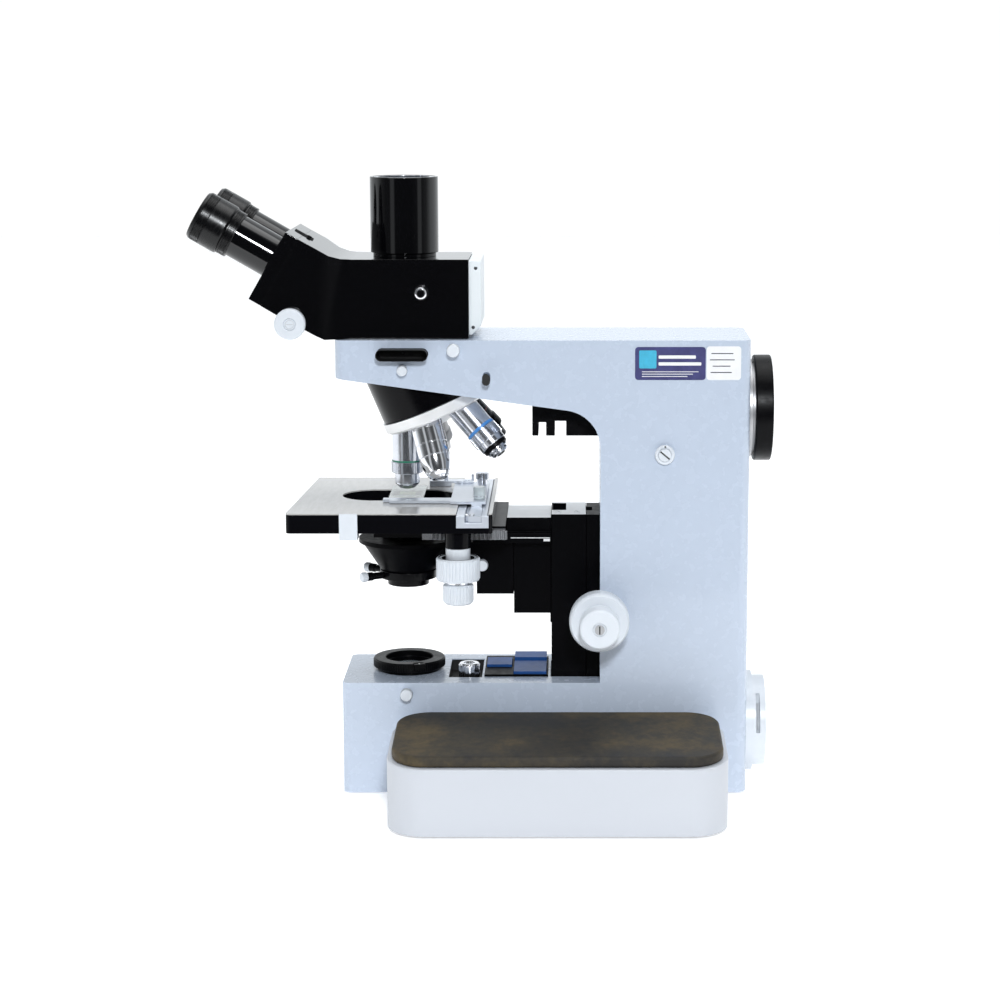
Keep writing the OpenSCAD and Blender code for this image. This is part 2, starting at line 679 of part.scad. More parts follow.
module guide_finger() color("Silver") on_axis() {
  block([-44, 14.5, stage_top + 0.4], [-36, finger_y - 8, stage_top + 3]);
  block([-44, 14.5, stage_top + 2.7], [-36, finger_y, stage_top + 4.4]);
  translate([finger_x, finger_y, stage_top + 2.7]) cylinder(h = 1.7, r = 5.2, $fn = 40);
  translate([finger_x - 1, 27, stage_top + 4]) cylinder(h = 6.4, r = 1.6, $fn = 24);
}

module guide_screws() color("Silver") on_axis() {
  translate([31, 55, stage_top + 2.4]) cylinder(h = 9.5, r = 4.5, $fn = 40);
  translate([-31, 55, stage_top + 2.4]) cylinder(h = 6, r = 3.6, $fn = 40);
  translate([-31, 55, stage_top + 8.4]) cylinder(h = 3.6, r = 4.9, $fn = 40);
}

module specimen_slide() color("LightCyan", 0.6) on_axis()
  block([-35.8, -13, stage_top + 0.02], [25.3, 13, stage_top + 1.1]);

module stage_strap() color("Gainsboro") on_axis() {
  block([stage_hw, -44.2, stage_bottom - 4.7], [stage_hw + 1.6, -31, stage_top]);
  block([stage_hw - 12, -44.2, stage_bottom - 4.7], [stage_hw, -31, stage_bottom - 0.02]);
}

module y_drive_knob() color("Gainsboro") on_axis() translate([drive_x, drive_y, 0]) difference() {
  union() {
    translate([0, 0, 184]) cylinder(h = neck_bottom - gap - 184, r = 9, $fn = 48);
    difference() {
      translate([0, 0, 168.5]) cylinder(h = 17, r = 16, $fn = 64);
      translate([0, 0, 182]) cylinder(h = 4, r = 14, $fn = 64);
    }
    translate([0, 0, 181]) cylinder(h = 4, r = 9, $fn = 48);
  }
  translate([0, 0, 150]) cylinder(h = 60, r = 4, $fn = 40);
}

// sleeve of the Y knob with its pinion, round the X shaft
module y_drive_pinion() color("Silver") on_axis() translate([drive_x, drive_y, 0]) difference() {
  union() {
    translate([0, 0, bed_bottom + 0.3]) pinion(14, bed_t - 2);
    translate([0, 0, 168.5]) cylinder(h = bed_bottom + 1 - 168.5, r = 4, $fn = 40);
  }
  translate([0, 0, 150]) cylinder(h = 60, r = 2.5 + run, $fn = 40);
}

module x_drive_knob() color("Gainsboro") on_axis() translate([drive_x, drive_y, 0]) difference() {
  union() {
    translate([0, 0, 150.9]) cylinder(h = 14.7, r = 11.2, $fn = 56);
    translate([0, 0, 165.6]) cylinder(h = 2.4, r = 8, $fn = 48);
  }
  translate([0, 0, 156]) cylinder(h = 20, r = 2.5, $fn = 40);
}

// inner shaft of the coaxial drive with the X pinion
module x_drive_shaft() color("Silver") on_axis() translate([drive_x, drive_y, 0]) {
  translate([0, 0, 156]) cylinder(h = rail_top - 5 - 156 + 1, r = 2.5, $fn = 40);
  translate([0, 0, rail_top - 5]) rotate([0, 0, 90]) pinion(14, 3.8);
}

// ---------- condenser ----------

module condenser_holder() color("Black") on_axis() {
  difference() {
    union() {
      translate([0, 0, 164]) cylinder(h = 21, r1 = 20.6, r2 = 34.6, $fn = 96);
      translate([0, 0, 185]) cylinder(h = 3.2, r = cond_flange_r, $fn = 96);
      block([-20, 22, 148.2], [20, 79.7, 187.6]);
      // tongue in the carrier's groove
      block([-7.8, 79, 149], [7.8, 85.8, 186]);
    }
    translate([0, 0, 140]) cylinder(h = 60, r = cond_r + 0.02, $fn = 96);
    translate([0, 0, 140]) cylinder(h = 24, r = 23, $fn = 72);
    block([-30, 20, 140], [30, 52.2, 163.9]);
  }
}

module condenser_body() color("Black") on_axis() difference() {
  turned([[0, 152.2], [15.5, 152.2], [15.5, 157], [21.5, 157.5], [21.5, 163.7], [cond_r, 163.9], [cond_r, 192],
    [17, 194], [14, 205], [10, 216], [10, 217.6], [0, 217.6]], 96);
  translate([0, 0, 151]) cylinder(h = 6, r = 11.5, $fn = 48);
}

module centring_screw(s) on_axis() rotate([0, 0, s * 31]) translate([0, -22, 160.6]) rotate([90, 0, 0]) {
  cylinder(h = 13, r = 3.3, $fn = 40);
  translate([0, 0, 13]) cylinder(h = 4.6, r = 3.7, $fn = 40);
}

module centring_screw_right() color("Silver") centring_screw(1);

module centring_screw_left() color("Silver") centring_screw(-1);

module condenser_knob() color("Gainsboro") on_axis() {
  rod_x(20.3, 27, 4.4, 56.6, 170.7);
}

// ---------- head ----------

// frame of the eyepiece side: +Z points at the user's eye, +Y up the face
module face_frame() translate([0, face_y, face_z]) rotate([60, 0, 0]) children();

module head_plan() polygon([[-head_front_hw, -130], [head_front_hw, -130], [head_front_hw, -62], [head_hw, -38],
  [head_hw, 48.2], [-head_hw, 48.2], [-head_hw, -38], [-head_front_hw, -62]]);

module head_outline() polygon([[-55.7, limb_top + 0.4], [-90.5, 360.2], [-101, 366.4], [-73.3, 414.4], [-61.6, 407.9],
  [-52, 401.8], [-44, 399.4], [-36, head_top], [48.2, head_top], [48.2, limb_top + 0.4]]);

module head_housing() color("Black") on_axis() difference() {
  union() {
    intersection() {
      side(2 * head_front_hw) head_outline();
      linear_extrude(height = 500) head_plan();
    }
    translate([0, 0, seat_z + gap]) cylinder(h = 6, r = seat_r - gap, $fn = 96);
    rod_x(-head_front_hw, head_front_hw, 5.5, ipd_y, ipd_z);
  }
  // prism space, light path, tube bore and the rod's hole
  block([-30, -50, 352], [30, 42, 391]);
  translate([0, 0, 330]) cylinder(h = 30, r = 16, $fn = 64);
  translate([0, 0, 385]) cylinder(h = 20, r = 17, $fn = 64);
  rod_x(20, 40, 2.6, pull_rod_at[0], pull_rod_at[1]);
  rod_x(head_front_hw - 12, head_front_hw + eps, 3.05, ipd_y, ipd_z);
  // light path to the tubes
  face_frame() translate([0, ocular_v, -32]) linear_extrude(height = 32) stadium(ocular_x + 11, 11);
}

module head_front_plate() color("Black") on_axis() face_frame() difference() {
  block([-head_front_hw, -face_half, -plate_depth + seam], [head_front_hw, face_half, 0]);
  for (s = [-1, 1]) translate([s * (ocular_x - 0.25), ocular_v, -plate_depth - eps]) linear_extrude(height = 20)
    stadium(sleeve_r + 5.1, sleeve_r + 0.3);
}

module rear_plate() color("Ivory") on_axis() side(2 * head_hw - 4)
  polygon([[48.3, 344], [50.5, 344], [57.3, 350.6], [57.3, 397.7], [48.3, 397.7]]);

module photo_tube() color("Black") on_axis() difference() {
  union() {
    translate([0, 0, head_top]) cylinder(h = 3, r = photo_r - 1.8, $fn = 96);
    translate([0, 0, head_top + 2]) cylinder(h = photo_top - head_top - 2, r = photo_r, $fn = 96);
  }
  translate([0, 0, head_top - eps]) cylinder(h = 80, r = photo_bore_r, $fn = 96);
}

module pull_rod() color("DimGray") on_axis() {
  rod_x(10, 46, 2.5, pull_rod_at[0], pull_rod_at[1]);
  rod_x(head_hw + 1.2, head_hw + 10, 5.1, pull_rod_at[0], pull_rod_at[1]);
  difference() {
    block([-12, 3, 358], [12, 26, 386]);
    translate([0, 14.5, 350]) cylinder(h = 50, r = 8, $fn = 40);
  }
}

// one tube with its eyepiece, seen along the outward axis
module ocular() {
  difference() {
    union() {
      translate([0, 0, gap]) cylinder(h = 31 - gap, r = ocular_r, $fn = 64);
      translate([0, 0, -8]) cylinder(h = 9, r = sleeve_r, $fn = 56);
    }
    translate([0, 0, -9]) cylinder(h = 60, r = sleeve_r - 1.6, $fn = 48);
  }
  translate([0, 0, 31]) difference() {
    turned([[0, 0], [17.6, 0], [17.6, 6.6], [18.6, 7], [18.9, 24], [18.6, 26], [17.7, 30.9], [12, 30.9], [11, 28], [0, 28]]);
    translate([0, 0, -eps]) cylinder(h = 20, r = sleeve_r - 1.6, $fn = 48);
  }
}

module oculars_right() color("Black") on_axis() face_frame() translate([ocular_x, ocular_v, 0]) ocular();

module oculars_left() color("Black") on_axis() face_frame() translate([-ocular_x, ocular_v, 0]) ocular();

module ipd_knob() color("Gainsboro") on_axis() difference() {
  union() {
    rod_x(head_front_hw - 10, head_front_hw + 3, 3, ipd_y, ipd_z);
    rod_x(head_front_hw + 1.5, head_front_hw + 9, ipd_r, ipd_y, ipd_z);
  }
  rod_x(head_front_hw + 7.6, head_front_hw + 10, 4.3, ipd_y, ipd_z);
}

// ---------- nodes ----------

stand_casting();
base_plate();
feet();
armrest_right();
armrest_left();
armrest_pads();
lamp_mount();
port_flange();
dust_cap();
field_lens();
field_ring();
field_mirror();
filter_carrier();
filter_glasses();
mirror_screw();
lamp_bracket();
focus_guide();
slot_screw();
head_clamp_screw();
lock_switch();
service_labels();
base_screw();
nosepiece_body();
focus_slide();
coarse_shaft();
coarse_knobs();
fine_shaft();
fine_knobs();
stage_carrier();
stage_bed();
stage_plate();
stage_strap();
guide_rail();
guide_carriage();
guide_finger();
guide_screws();
specimen_slide();
y_drive_knob();
y_drive_pinion();
x_drive_knob();
x_drive_shaft();
condenser_holder();
condenser_body();
centring_screw_right();
centring_screw_left();
condenser_knob();
nosepiece_turret();
objective_1();
objective_2();
objective_3();
objective_4();
objective_5();
head_housing();
head_front_plate();
rear_plate();
photo_tube();
pull_rod();
oculars_right();
oculars_left();
ipd_knob();
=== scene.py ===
"""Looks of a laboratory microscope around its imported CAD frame, in metres."""

import json
import math
import random

import bpy
from mathutils import Matrix, Vector


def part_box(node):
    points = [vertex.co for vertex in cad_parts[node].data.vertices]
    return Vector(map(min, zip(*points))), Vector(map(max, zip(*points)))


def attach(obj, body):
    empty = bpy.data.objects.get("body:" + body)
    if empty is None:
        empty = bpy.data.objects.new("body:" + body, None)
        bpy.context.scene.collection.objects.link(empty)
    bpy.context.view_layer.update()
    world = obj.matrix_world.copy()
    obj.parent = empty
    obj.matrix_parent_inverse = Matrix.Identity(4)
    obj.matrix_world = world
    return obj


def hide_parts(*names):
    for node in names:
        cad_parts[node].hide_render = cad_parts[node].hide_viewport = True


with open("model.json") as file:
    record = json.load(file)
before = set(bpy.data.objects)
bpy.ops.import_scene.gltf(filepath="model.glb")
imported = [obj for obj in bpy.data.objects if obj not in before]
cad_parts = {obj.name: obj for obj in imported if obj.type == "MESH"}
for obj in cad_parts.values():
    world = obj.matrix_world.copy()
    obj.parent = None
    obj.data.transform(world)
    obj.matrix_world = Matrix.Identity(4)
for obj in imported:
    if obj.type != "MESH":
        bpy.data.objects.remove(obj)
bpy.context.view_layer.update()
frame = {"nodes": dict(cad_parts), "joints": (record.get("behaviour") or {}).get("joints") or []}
JOINTS = {j["name"]: j for j in frame["joints"]}
MM = 0.001
APEX = Vector(JOINTS["turret_turn"]["pos_m"])
TURRET_AXIS = Vector(JOINTS["turret_turn"]["axis"])
FOCUS = Vector(JOINTS["coarse_turn"]["pos_m"])
AXIS_Y = APEX.y
STAND_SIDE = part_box("stand_casting")[1].x
X_AXIS, Y_AXIS, Z_AXIS = Vector((1, 0, 0)), Vector((0, 1, 0)), Vector((0, 0, 1))
MATS = {}
random.seed(7)


# ---------------------------------------------------------------- shapes

def place(x, y, z):
    """A point given in millimetres from the optical axis and the ground."""
    return Vector((x * MM, AXIS_Y + y * MM, z * MM))


def aimed(point, axis, up=None):
    """A frame at point whose Z runs along axis and whose Y is as near to up as it can be."""
    z = Vector(axis).normalized()
    y = Vector(up) if up is not None else (Y_AXIS if abs(z.y) < 0.9 else Z_AXIS)
    y = (y - z * y.dot(z)).normalized()
    x = y.cross(z)
    return Matrix.Translation(point) @ Matrix((x, y, z)).transposed().to_4x4()


def rounded(points, radius, steps=3, closed=False):
    """The outline with each corner turned into a small arc."""
    out = []
    count = len(points)
    for i, p in enumerate(points):
        if not closed and i in (0, count - 1):
            out.append(p)
            continue
        a, b, c = Vector(points[i - 1]), Vector(p), Vector(points[(i + 1) % count])
        ab, cb = a - b, c - b
        if ab.length < 1e-6 or cb.length < 1e-6:
            out.append(p)
            continue
        angle = ab.angle(cb)
        if angle > math.radians(165):
            out.append(p)
            continue
        reach = min(radius / math.tan(angle / 2), 0.45 * ab.length, 0.45 * cb.length)
        s, e = b + ab.normalized() * reach, b + cb.normalized() * reach
        for k in range(steps + 1):
            t = k / steps
            q = s * (1 - t) ** 2 + b * 2 * t * (1 - t) + e * t * t
            out.append((q.x, q.y))
    return out


class Shape:
    """Collects parts given in millimetres and makes one mesh object of them."""

    def __init__(self):
        self.verts, self.faces, self.mats = [], [], []
        self.move = Matrix.Identity(4)

    def add(self, verts, faces, mat):
        base = len(self.verts)
        self.verts += [self.move @ Vector(v) for v in verts]
        self.faces += [[base + i for i in f] for f in faces]
        self.mats += [mat] * len(faces)

    def rings(self, rings, mat, closed):
        """Joins rings of equal length; a ring of one point closes an end."""
        verts, faces, starts = [], [], []
        for ring in rings:
            starts.append((len(verts), len(ring)))
            verts += ring
        pairs = list(zip(starts, starts[1:]))
        if closed:
            pairs.append((starts[-1], starts[0]))
        for (a, na), (b, nb) in pairs:
            n = max(na, nb)
            for i in range(n):
                j = (i + 1) % n
                quad = [a + (i if na > 1 else 0), a + (j if na > 1 else 0), b + (j if nb > 1 else 0),
                        b + (i if nb > 1 else 0)]
                faces.append(list(dict.fromkeys(quad)))
        self.add(verts, [f for f in faces if len(f) > 2], mat)

    def lathe(self, profile, mat=0, segs=96, fillet=0.3, closed=False):
        """Turns a (radius, height) outline about Z."""
        rings = []
        for r, z in rounded(profile, fillet, closed=closed):
            if r < 1e-5:
                rings.append([(0, 0, z)])
                continue
            rings.append([(r * math.cos(t), r * math.sin(t),
                           z) for t in (2 * math.pi * i / segs for i in range(segs))])
        self.rings(rings, mat, closed)

    def ribs(self, r, z0, z1, count, depth, mat=0, duty=0.5, chamfer=0.4, inner=0.0):
        """A ring with straight ribs round it."""
        pattern = [(0.0, 0.0), (duty, 0.0), (duty + 0.12, depth), (0.88, depth)]
        levels = [(z0, inner), (z0, chamfer), (z0 + chamfer, 0), (z1 - chamfer, 0), (z1, chamfer),
                  (z1, inner)]
        rings = []
        for k, (z, cut) in enumerate(levels):
            ring = []
            for i in range(count):
                for share, drop in pattern:
                    t = 2 * math.pi * (i + share) / count
                    radius = inner if k in (0, 5) else r - cut - drop
                    ring.append((radius * math.cos(t), radius * math.sin(t), z))
            rings.append(ring if inner > 0 or k not in (0, 5) else [(0, 0, z)])
        self.rings(rings, mat, False)

    def knurl(self, r, z0, z1, count, rows, depth, mat=0):
        """A band of diamond knurling, open at its ends."""
        rings = []
        for j in range(2 * rows + 1):
            z = z0 + (z1 - z0) * j / (2 * rows)
            edge = j in (0, 2 * rows)
            ring = []
            for i in range(2 * count):
                radius = r - (depth if edge or (i + j) % 2 else 0)
                t = math.pi * i / count
                ring.append((radius * math.cos(t), radius * math.sin(t), z))
            rings.append(ring)
        self.rings(rings, mat, False)

    def slab(self, outline, z0, z1, mat=0, chamfer=0.0):
        """A plate from an (x, y) outline, with its top edge cut back a little."""
        n = len(outline)
        cx = sum(p[0] for p in outline) / n
        cy = sum(p[1] for p in outline) / n
        rings = []
        for z, cut in ((z0, 0), (z1 - chamfer, 0), (z1, chamfer)):
            ring = []
            for x, y in outline:
                d = math.hypot(x - cx, y - cy) or 1
                ring.append((x - (x - cx) / d * cut, y - (y - cy) / d * cut, z))
            rings.append(ring)
        verts = [v for ring in rings for v in ring]
        faces = [list(range(n))[::-1], [2 * n + i for i in range(n)]]
        for k in (0, 1):
            for i in range(n):
                j = (i + 1) % n
                faces.append([k * n + i, k * n + j, (k + 1) * n + j, (k + 1) * n + i])
        self.add(verts, faces, mat)

    def box(self, lo, hi, mat=0, chamfer=0.2):
        """A block; its top edges are cut back."""
        outline = [(lo[0], lo[1]), (hi[0], lo[1]), (hi[0], hi[1]), (lo[0], hi[1])]
        self.slab(outline, lo[2], hi[2], mat, chamfer)

    def build(self, name, mats, frame_matrix, body, slot=None, stands_for=(), sharp=33):
        mesh = bpy.data.meshes.new(name)
        mesh.from_pydata([v * MM for v in self.verts], [], self.faces)
        for m in mats:
            mesh.materials.append(MATS[m])
        mesh.polygons.foreach_set("material_index", self.mats)
        mesh.validate()
        obj = bpy.data.objects.new(name, mesh)
        bpy.context.scene.collection.objects.link(obj)
        turn_outwards(mesh)
        mesh.shade_smooth()
        mesh.set_sharp_from_angle(angle=math.radians(sharp))
        obj.matrix_world = frame_matrix
        obj.modifiers.new("Normals", "WEIGHTED_NORMAL").keep_sharp = True
        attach(obj, body)
        if stands_for:
            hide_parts(*stands_for)
        return obj


def turn_outwards(mesh):
    import bmesh
    bm = bmesh.new()
    bm.from_mesh(mesh)
    bmesh.ops.recalc_face_normals(bm, faces=bm.faces)
    bm.to_mesh(mesh)
    bm.free()


def stadium(half_l, half_h, steps=12):
    """Outline of a slot with round ends along X."""
    flat = half_l - half_h
    out = []
    for side, start in ((1, -90), (-1, 90)):
        for k in range(steps + 1):
            t = math.radians(start + 180 * k / steps)
            out.append((side * flat + half_h * math.cos(t), half_h * math.sin(t)))
    return out


def round_rect(x0, y0, x1, y1, r, steps=5):
    out = []
    for cx, cy, start in ((x1 - r, y1 - r, 0), (x0 + r, y1 - r, 90), (x0 + r, y0 + r, 180),
                          (x1 - r, y0 + r, 270)):
        for k in range(steps + 1):
            t = math.radians(start + 90 * k / steps)
            out.append((cx + r * math.cos(t), cy + r * math.sin(t)))
    return out


# ---------------------------------------------------------------- materials

class Nodes:
    """A material and short calls for its nodes."""

    def __init__(self, name):
        self.name = name
        self.mat = bpy.data.materials.new(name + "_look")
        self.mat.use_nodes = True
        self.tree = self.mat.node_tree
        self.bsdf = self.tree.nodes["Principled BSDF"]
        self.coord = self.tree.nodes.new("ShaderNodeTexCoord").outputs["Object"]

    def new(self, kind, **values):
        node = self.tree.nodes.new(kind)
        for key, value in values.items():
            setattr(node, key, value)
        return node

    def link(self, a, b):
        self.tree.links.new(a, b)

    def noise(self, scale, detail=3.0, rough=0.5, stretch=None):
        node = self.new("ShaderNodeTexNoise")
        node.inputs["Scale"].default_value = scale
        node.inputs["Detail"].default_value = detail
        node.inputs["Roughness"].default_value = rough
        source = self.coord
        if stretch:
            mapping = self.new("ShaderNodeMapping")
            mapping.inputs["Scale"].default_value = stretch
            self.link(source, mapping.inputs["Vector"])
            source = mapping.outputs["Vector"]
        self.link(source, node.inputs["Vector"])
        return node.outputs["Fac"]

    def ramp(self, source, stops):
        node = self.new("ShaderNodeValToRGB")
        elements = node.color_ramp.elements
        while len(elements) < len(stops):
            elements.new(0.5)
        for element, (at, colour) in zip(elements, stops):
            element.position = at
            element.color = (*colour, 1) if len(colour) == 3 else colour
        self.link(source, node.inputs["Fac"])
        return node.outputs["Color"]

    def span(self, source, low, high, start=0.0, end=1.0):
        node = self.new("ShaderNodeMapRange")
        node.inputs["From Min"].default_value = start
        node.inputs["From Max"].default_value = end
        node.inputs["To Min"].default_value = low
        node.inputs["To Max"].default_value = high
        self.link(source, node.inputs["Value"])
        return node.outputs["Result"]

    def mix(self, share, a, b):
        node = self.new("ShaderNodeMix", data_type="RGBA")
        self.feed(share, node.inputs["Factor"])
        self.feed(a, node.inputs["A"])
        self.feed(b, node.inputs["B"])
        return node.outputs["Result"]

    def math(self, operation, a, b=0.0, c=None):
        node = self.new("ShaderNodeMath", operation=operation)
        self.feed(a, node.inputs[0])
        self.feed(b, node.inputs[1])
        if c is not None:
            self.feed(c, node.inputs[2])
        return node.outputs[0]

    def feed(self, value, socket):
        if isinstance(value, bpy.types.NodeSocket):
            self.link(value, socket)
        elif isinstance(value, tuple) and len(value) == 3:
            socket.default_value = (*value, 1)
        else:
            socket.default_value = value

    def bump(self, source, strength, distance=0.0002):
        node = self.new("ShaderNodeBump")
        node.inputs["Strength"].default_value = strength
        node.inputs["Distance"].default_value = distance
        self.link(source, node.inputs["Height"])
        self.link(node.outputs["Normal"], self.bsdf.inputs["Normal"])

    def set(self, **values):
        for key, value in values.items():
            self.feed(value, self.bsdf.inputs[key.replace("_", " ")])

    def keep(self):
        MATS[self.name] = self.mat
        return self.mat


def shade(colour, factor):
    return tuple(min(1.0, c * factor) for c in colour)


def paint(name, colour, rough, spread=0.05, scale=30.0, peel=0.12, peel_scale=900.0, coat=0.0, metal=0.0,
          shine=0.5):
    """Enamel or plastic with faint clouding and orange peel."""
    n = Nodes(name)
    clouds = n.noise(scale, 4.0, 0.6)
    colours = n.ramp(clouds, [(0.3, shade(colour, 1 - spread)), (0.7, shade(colour, 1 + spread))])
    n.set(Base_Color=colours, Roughness=n.span(n.noise(scale * 3, 3.0), rough * 0.8, rough * 1.25),
          Metallic=metal)
    n.set(Coat_Weight=coat, Coat_Roughness=0.05, Specular_IOR_Level=shine)
    n.bump(n.noise(peel_scale, 2.0), peel)
    return n.keep()


def black_enamel(name, rough, dust=0.10, shine=0.5):
    """Black gloss with dust specks and fine rubbed marks."""
    n = Nodes(name)
    dirt = n.noise(1400.0, 2.0, 0.5)
    specks = n.span(dirt, 0.0, dust, 0.68, 0.78)
    base = n.mix(specks, (0.0012, 0.0012, 0.0018), (0.25, 0.24, 0.22))
    rubs = n.noise(160.0, 5.0, 0.7, (1, 1, 4))
    n.set(Base_Color=base, Roughness=n.span(rubs, rough * 0.8, rough * 1.3, 0.3, 0.7),
          Specular_IOR_Level=shine)
    n.bump(n.noise(1100.0, 2.0), 0.05, 0.0001)
    return n.keep()


def metal(name, colour, rough, lines=(0, 0, 2500), depth=0.05, spread=0.12):
    """Turned or brushed metal: fine lines across the given direction."""
    n = Nodes(name)
    grain = n.noise(1.0, 3.0, 0.6, lines)
    cloud = n.noise(90.0, 3.0)
    base = n.ramp(cloud, [(0.25, shade(colour, 1 - spread)), (0.75, shade(colour, 1 + spread * 0.4))])
    n.set(Base_Color=base, Metallic=1.0, Roughness=n.span(grain, rough * 0.7, rough * 1.35, 0.3, 0.7))
    n.bump(grain, depth, 0.0001)
    return n.keep()


def stage_finish():
    """Polished warm grey top over a black edge."""
    n = Nodes("stage_finish")
    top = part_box("stage_plate")[1].z
    split = n.new("ShaderNodeSeparateXYZ")
    n.link(n.coord, split.inputs["Vector"])
    on_top = n.math("GREATER_THAN", split.outputs["Z"], top - 0.0009)
    marks = n.noise(45.0, 6.0, 0.7, (1, 5, 1))
    grey = n.ramp(marks, [(0.3, (0.41, 0.40, 0.385)), (0.7, (0.47, 0.46, 0.445))])
    base = n.mix(on_top, (0.003, 0.003, 0.004), grey)
    n.set(Base_Color=base, Roughness=n.span(marks, 0.05, 0.14),
          Specular_IOR_Level=n.span(on_top, 0.08, 0.8))
    return n.keep()


def bed_finish():
    """Satin black, with the bar of the Y drive left in cross-hatched steel."""
    n = Nodes("bed_finish")
    split = n.new("ShaderNodeSeparateXYZ")
    n.link(n.coord, split.inputs["Vector"])
    on_bar = n.math("GREATER_THAN", split.outputs["X"], 0.0482)
    rising = n.math("SINE", n.math("MULTIPLY", n.math("ADD", split.outputs["Y"], split.outputs["Z"]),
                                   3900.0))
    falling = n.math("SINE", n.math("MULTIPLY", n.math("SUBTRACT", split.outputs["Y"],
                                                       split.outputs["Z"]), 3900.0))
    hatch = n.span(n.math("MULTIPLY", rising, falling), 0.0, 1.0, -0.2, 0.3)
    steel = n.mix(hatch, (0.05, 0.05, 0.055), (0.42, 0.43, 0.45))
    rubs = n.noise(160.0, 5.0, 0.7, (1, 1, 4))
    n.set(Base_Color=n.mix(on_bar, (0.0012, 0.0012, 0.0018), steel), Specular_IOR_Level=0.08)
    n.set(Roughness=n.span(rubs, 0.26, 0.4))
    return n.keep()


def worn_pad():
    """Dark rubber worn to olive and ochre in patches."""
    n = Nodes("pad")
    large = n.noise(9.0, 6.0, 0.62, (1, 1.0, 1))
    fine = n.noise(160.0, 5.0, 0.7)
    wear = n.math("ADD", n.math("MULTIPLY", large, 0.8), n.math("MULTIPLY", fine, 0.2))
    base = n.ramp(wear, [(0.44, (0.020, 0.018, 0.016)), (0.52, (0.042, 0.034, 0.022)),
                         (0.60, (0.085, 0.062, 0.030)), (0.70, (0.13, 0.098, 0.055))])
    n.set(Base_Color=base, Roughness=n.span(large, 0.5, 0.75), Specular_IOR_Level=0.3)
    n.bump(fine, 0.25, 0.0002)
    return n.keep()


def glass(name, tint, rough=0.02):
    n = Nodes(name)
    smear = n.noise(120.0, 4.0, 0.6)
    n.set(Base_Color=n.ramp(smear, [(0.3, tint), (0.7, shade(tint, 0.96))]),
          Roughness=n.span(smear, rough, rough * 4))
    n.set(Transmission_Weight=0.85, IOR=1.5)
    return n.keep()


def make_materials():
    paint("stand_paint", (0.50, 0.565, 0.67), 0.26, spread=0.008, scale=45.0, peel=0.06, peel_scale=700.0,
          coat=0.25)
    paint("ivory_paint", (0.52, 0.54, 0.58), 0.38, spread=0.008, scale=5.0, peel=0.06)
    paint("ivory_plastic", (0.68, 0.715, 0.76), 0.3, spread=0.02, scale=60.0, peel=0.05)
    paint("rear_ivory", (0.76, 0.80, 0.82), 0.3, spread=0.02, scale=20.0, peel=0.05)
    black_enamel("black_paint", 0.07, 0.07)
    black_enamel("black_satin", 0.32, 0.02, 0.10)
    black_enamel("carriage_black", 0.36, 0.01, 0.04)
    black_enamel("nose_black", 0.2, 0.03, 0.12)
    black_enamel("black_anodised", 0.26, 0.02, 0.35)
    black_enamel("ocular_black", 0.26, 0.03, 0.32)
    stage_finish()
    bed_finish()
    metal("chrome", (0.86, 0.87, 0.90), 0.13, (0, 0, 3000), 0.02, 0.04)
    metal("steel", (0.72, 0.74, 0.79), 0.18, (0, 0, 4000), 0.04, 0.08)
    metal("plate_steel", (0.35, 0.35, 0.36), 0.4)
    metal("light_alloy", (0.80, 0.80, 0.81), 0.35, (0, 0, 3000), 0.04, 0.06)
    paint("turret_silver", (0.84, 0.84, 0.84), 0.32, spread=0.03, scale=60.0, peel=0.05, metal=0.25)
    worn_pad()
    paint("foot_rubber", (0.02, 0.02, 0.02), 0.7, spread=0.2, scale=200.0)
    glass("lens_glass", (0.86, 0.93, 0.95))
    glass("slide_glass", (0.92, 0.96, 0.94))
    paint("blue_glass", (0.018, 0.075, 0.26), 0.35, spread=0.15, scale=60.0, peel=0.02, shine=0.12)
    metal("mirror_face", (0.9, 0.9, 0.9), 0.04, (0, 0, 500), 0.0, 0.02)
    paint("label_film", (0.83, 0.83, 0.84), 0.35, spread=0.03, scale=150.0, peel=0.0)
    paint("label_blue", (0.05, 0.05, 0.16), 0.35, spread=0.25, scale=90.0, peel=0.0)
    paint("label_ink", (0.03, 0.03, 0.05), 0.5, spread=0.2, scale=300.0, peel=0.0)
    paint("label_cyan", (0.05, 0.42, 0.62), 0.4, spread=0.1, scale=300.0, peel=0.0)
    paint("band_green", (0.02, 0.20, 0.12), 0.3, spread=0.05, scale=200.0, peel=0.0)
    paint("band_blue", (0.06, 0.24, 0.60), 0.3, spread=0.05, scale=200.0, peel=0.0)
    paint("band_red", (0.10, 0.012, 0.012), 0.3, spread=0.05, scale=200.0, peel=0.0)
    paint("white_mark", (0.82, 0.82, 0.8), 0.5, spread=0.04, scale=200.0, peel=0.0)
    paint("paper", (0.92, 0.93, 0.90), 0.6, spread=0.04, scale=400.0)
    paint("specimen", (0.35, 0.45, 0.25), 0.5, spread=0.5, scale=300.0)
    paint("rail_steel", (0.66, 0.70, 0.77), 0.24, spread=0.04, scale=60.0, peel=0.03, metal=0.4)
    paint("clear_cap", (0.52, 0.58, 0.60), 0.12, spread=0.12, scale=160.0, peel=0.02, coat=0.5)
    paint("cover_grey", (0.76, 0.77, 0.78), 0.3, spread=0.04, scale=90.0, peel=0.05)
    paint("satin_grey", (0.45, 0.45, 0.46), 0.35, spread=0.05, scale=100.0, metal=0.6)
    # near-black for painted shade in slots, holes, recesses and gaps
    paint("painted_shade_black", (0.004, 0.004, 0.004), 0.6, spread=0.3, scale=100.0)


# ---------------------------------------------------------------- CAD nodes kept as they are

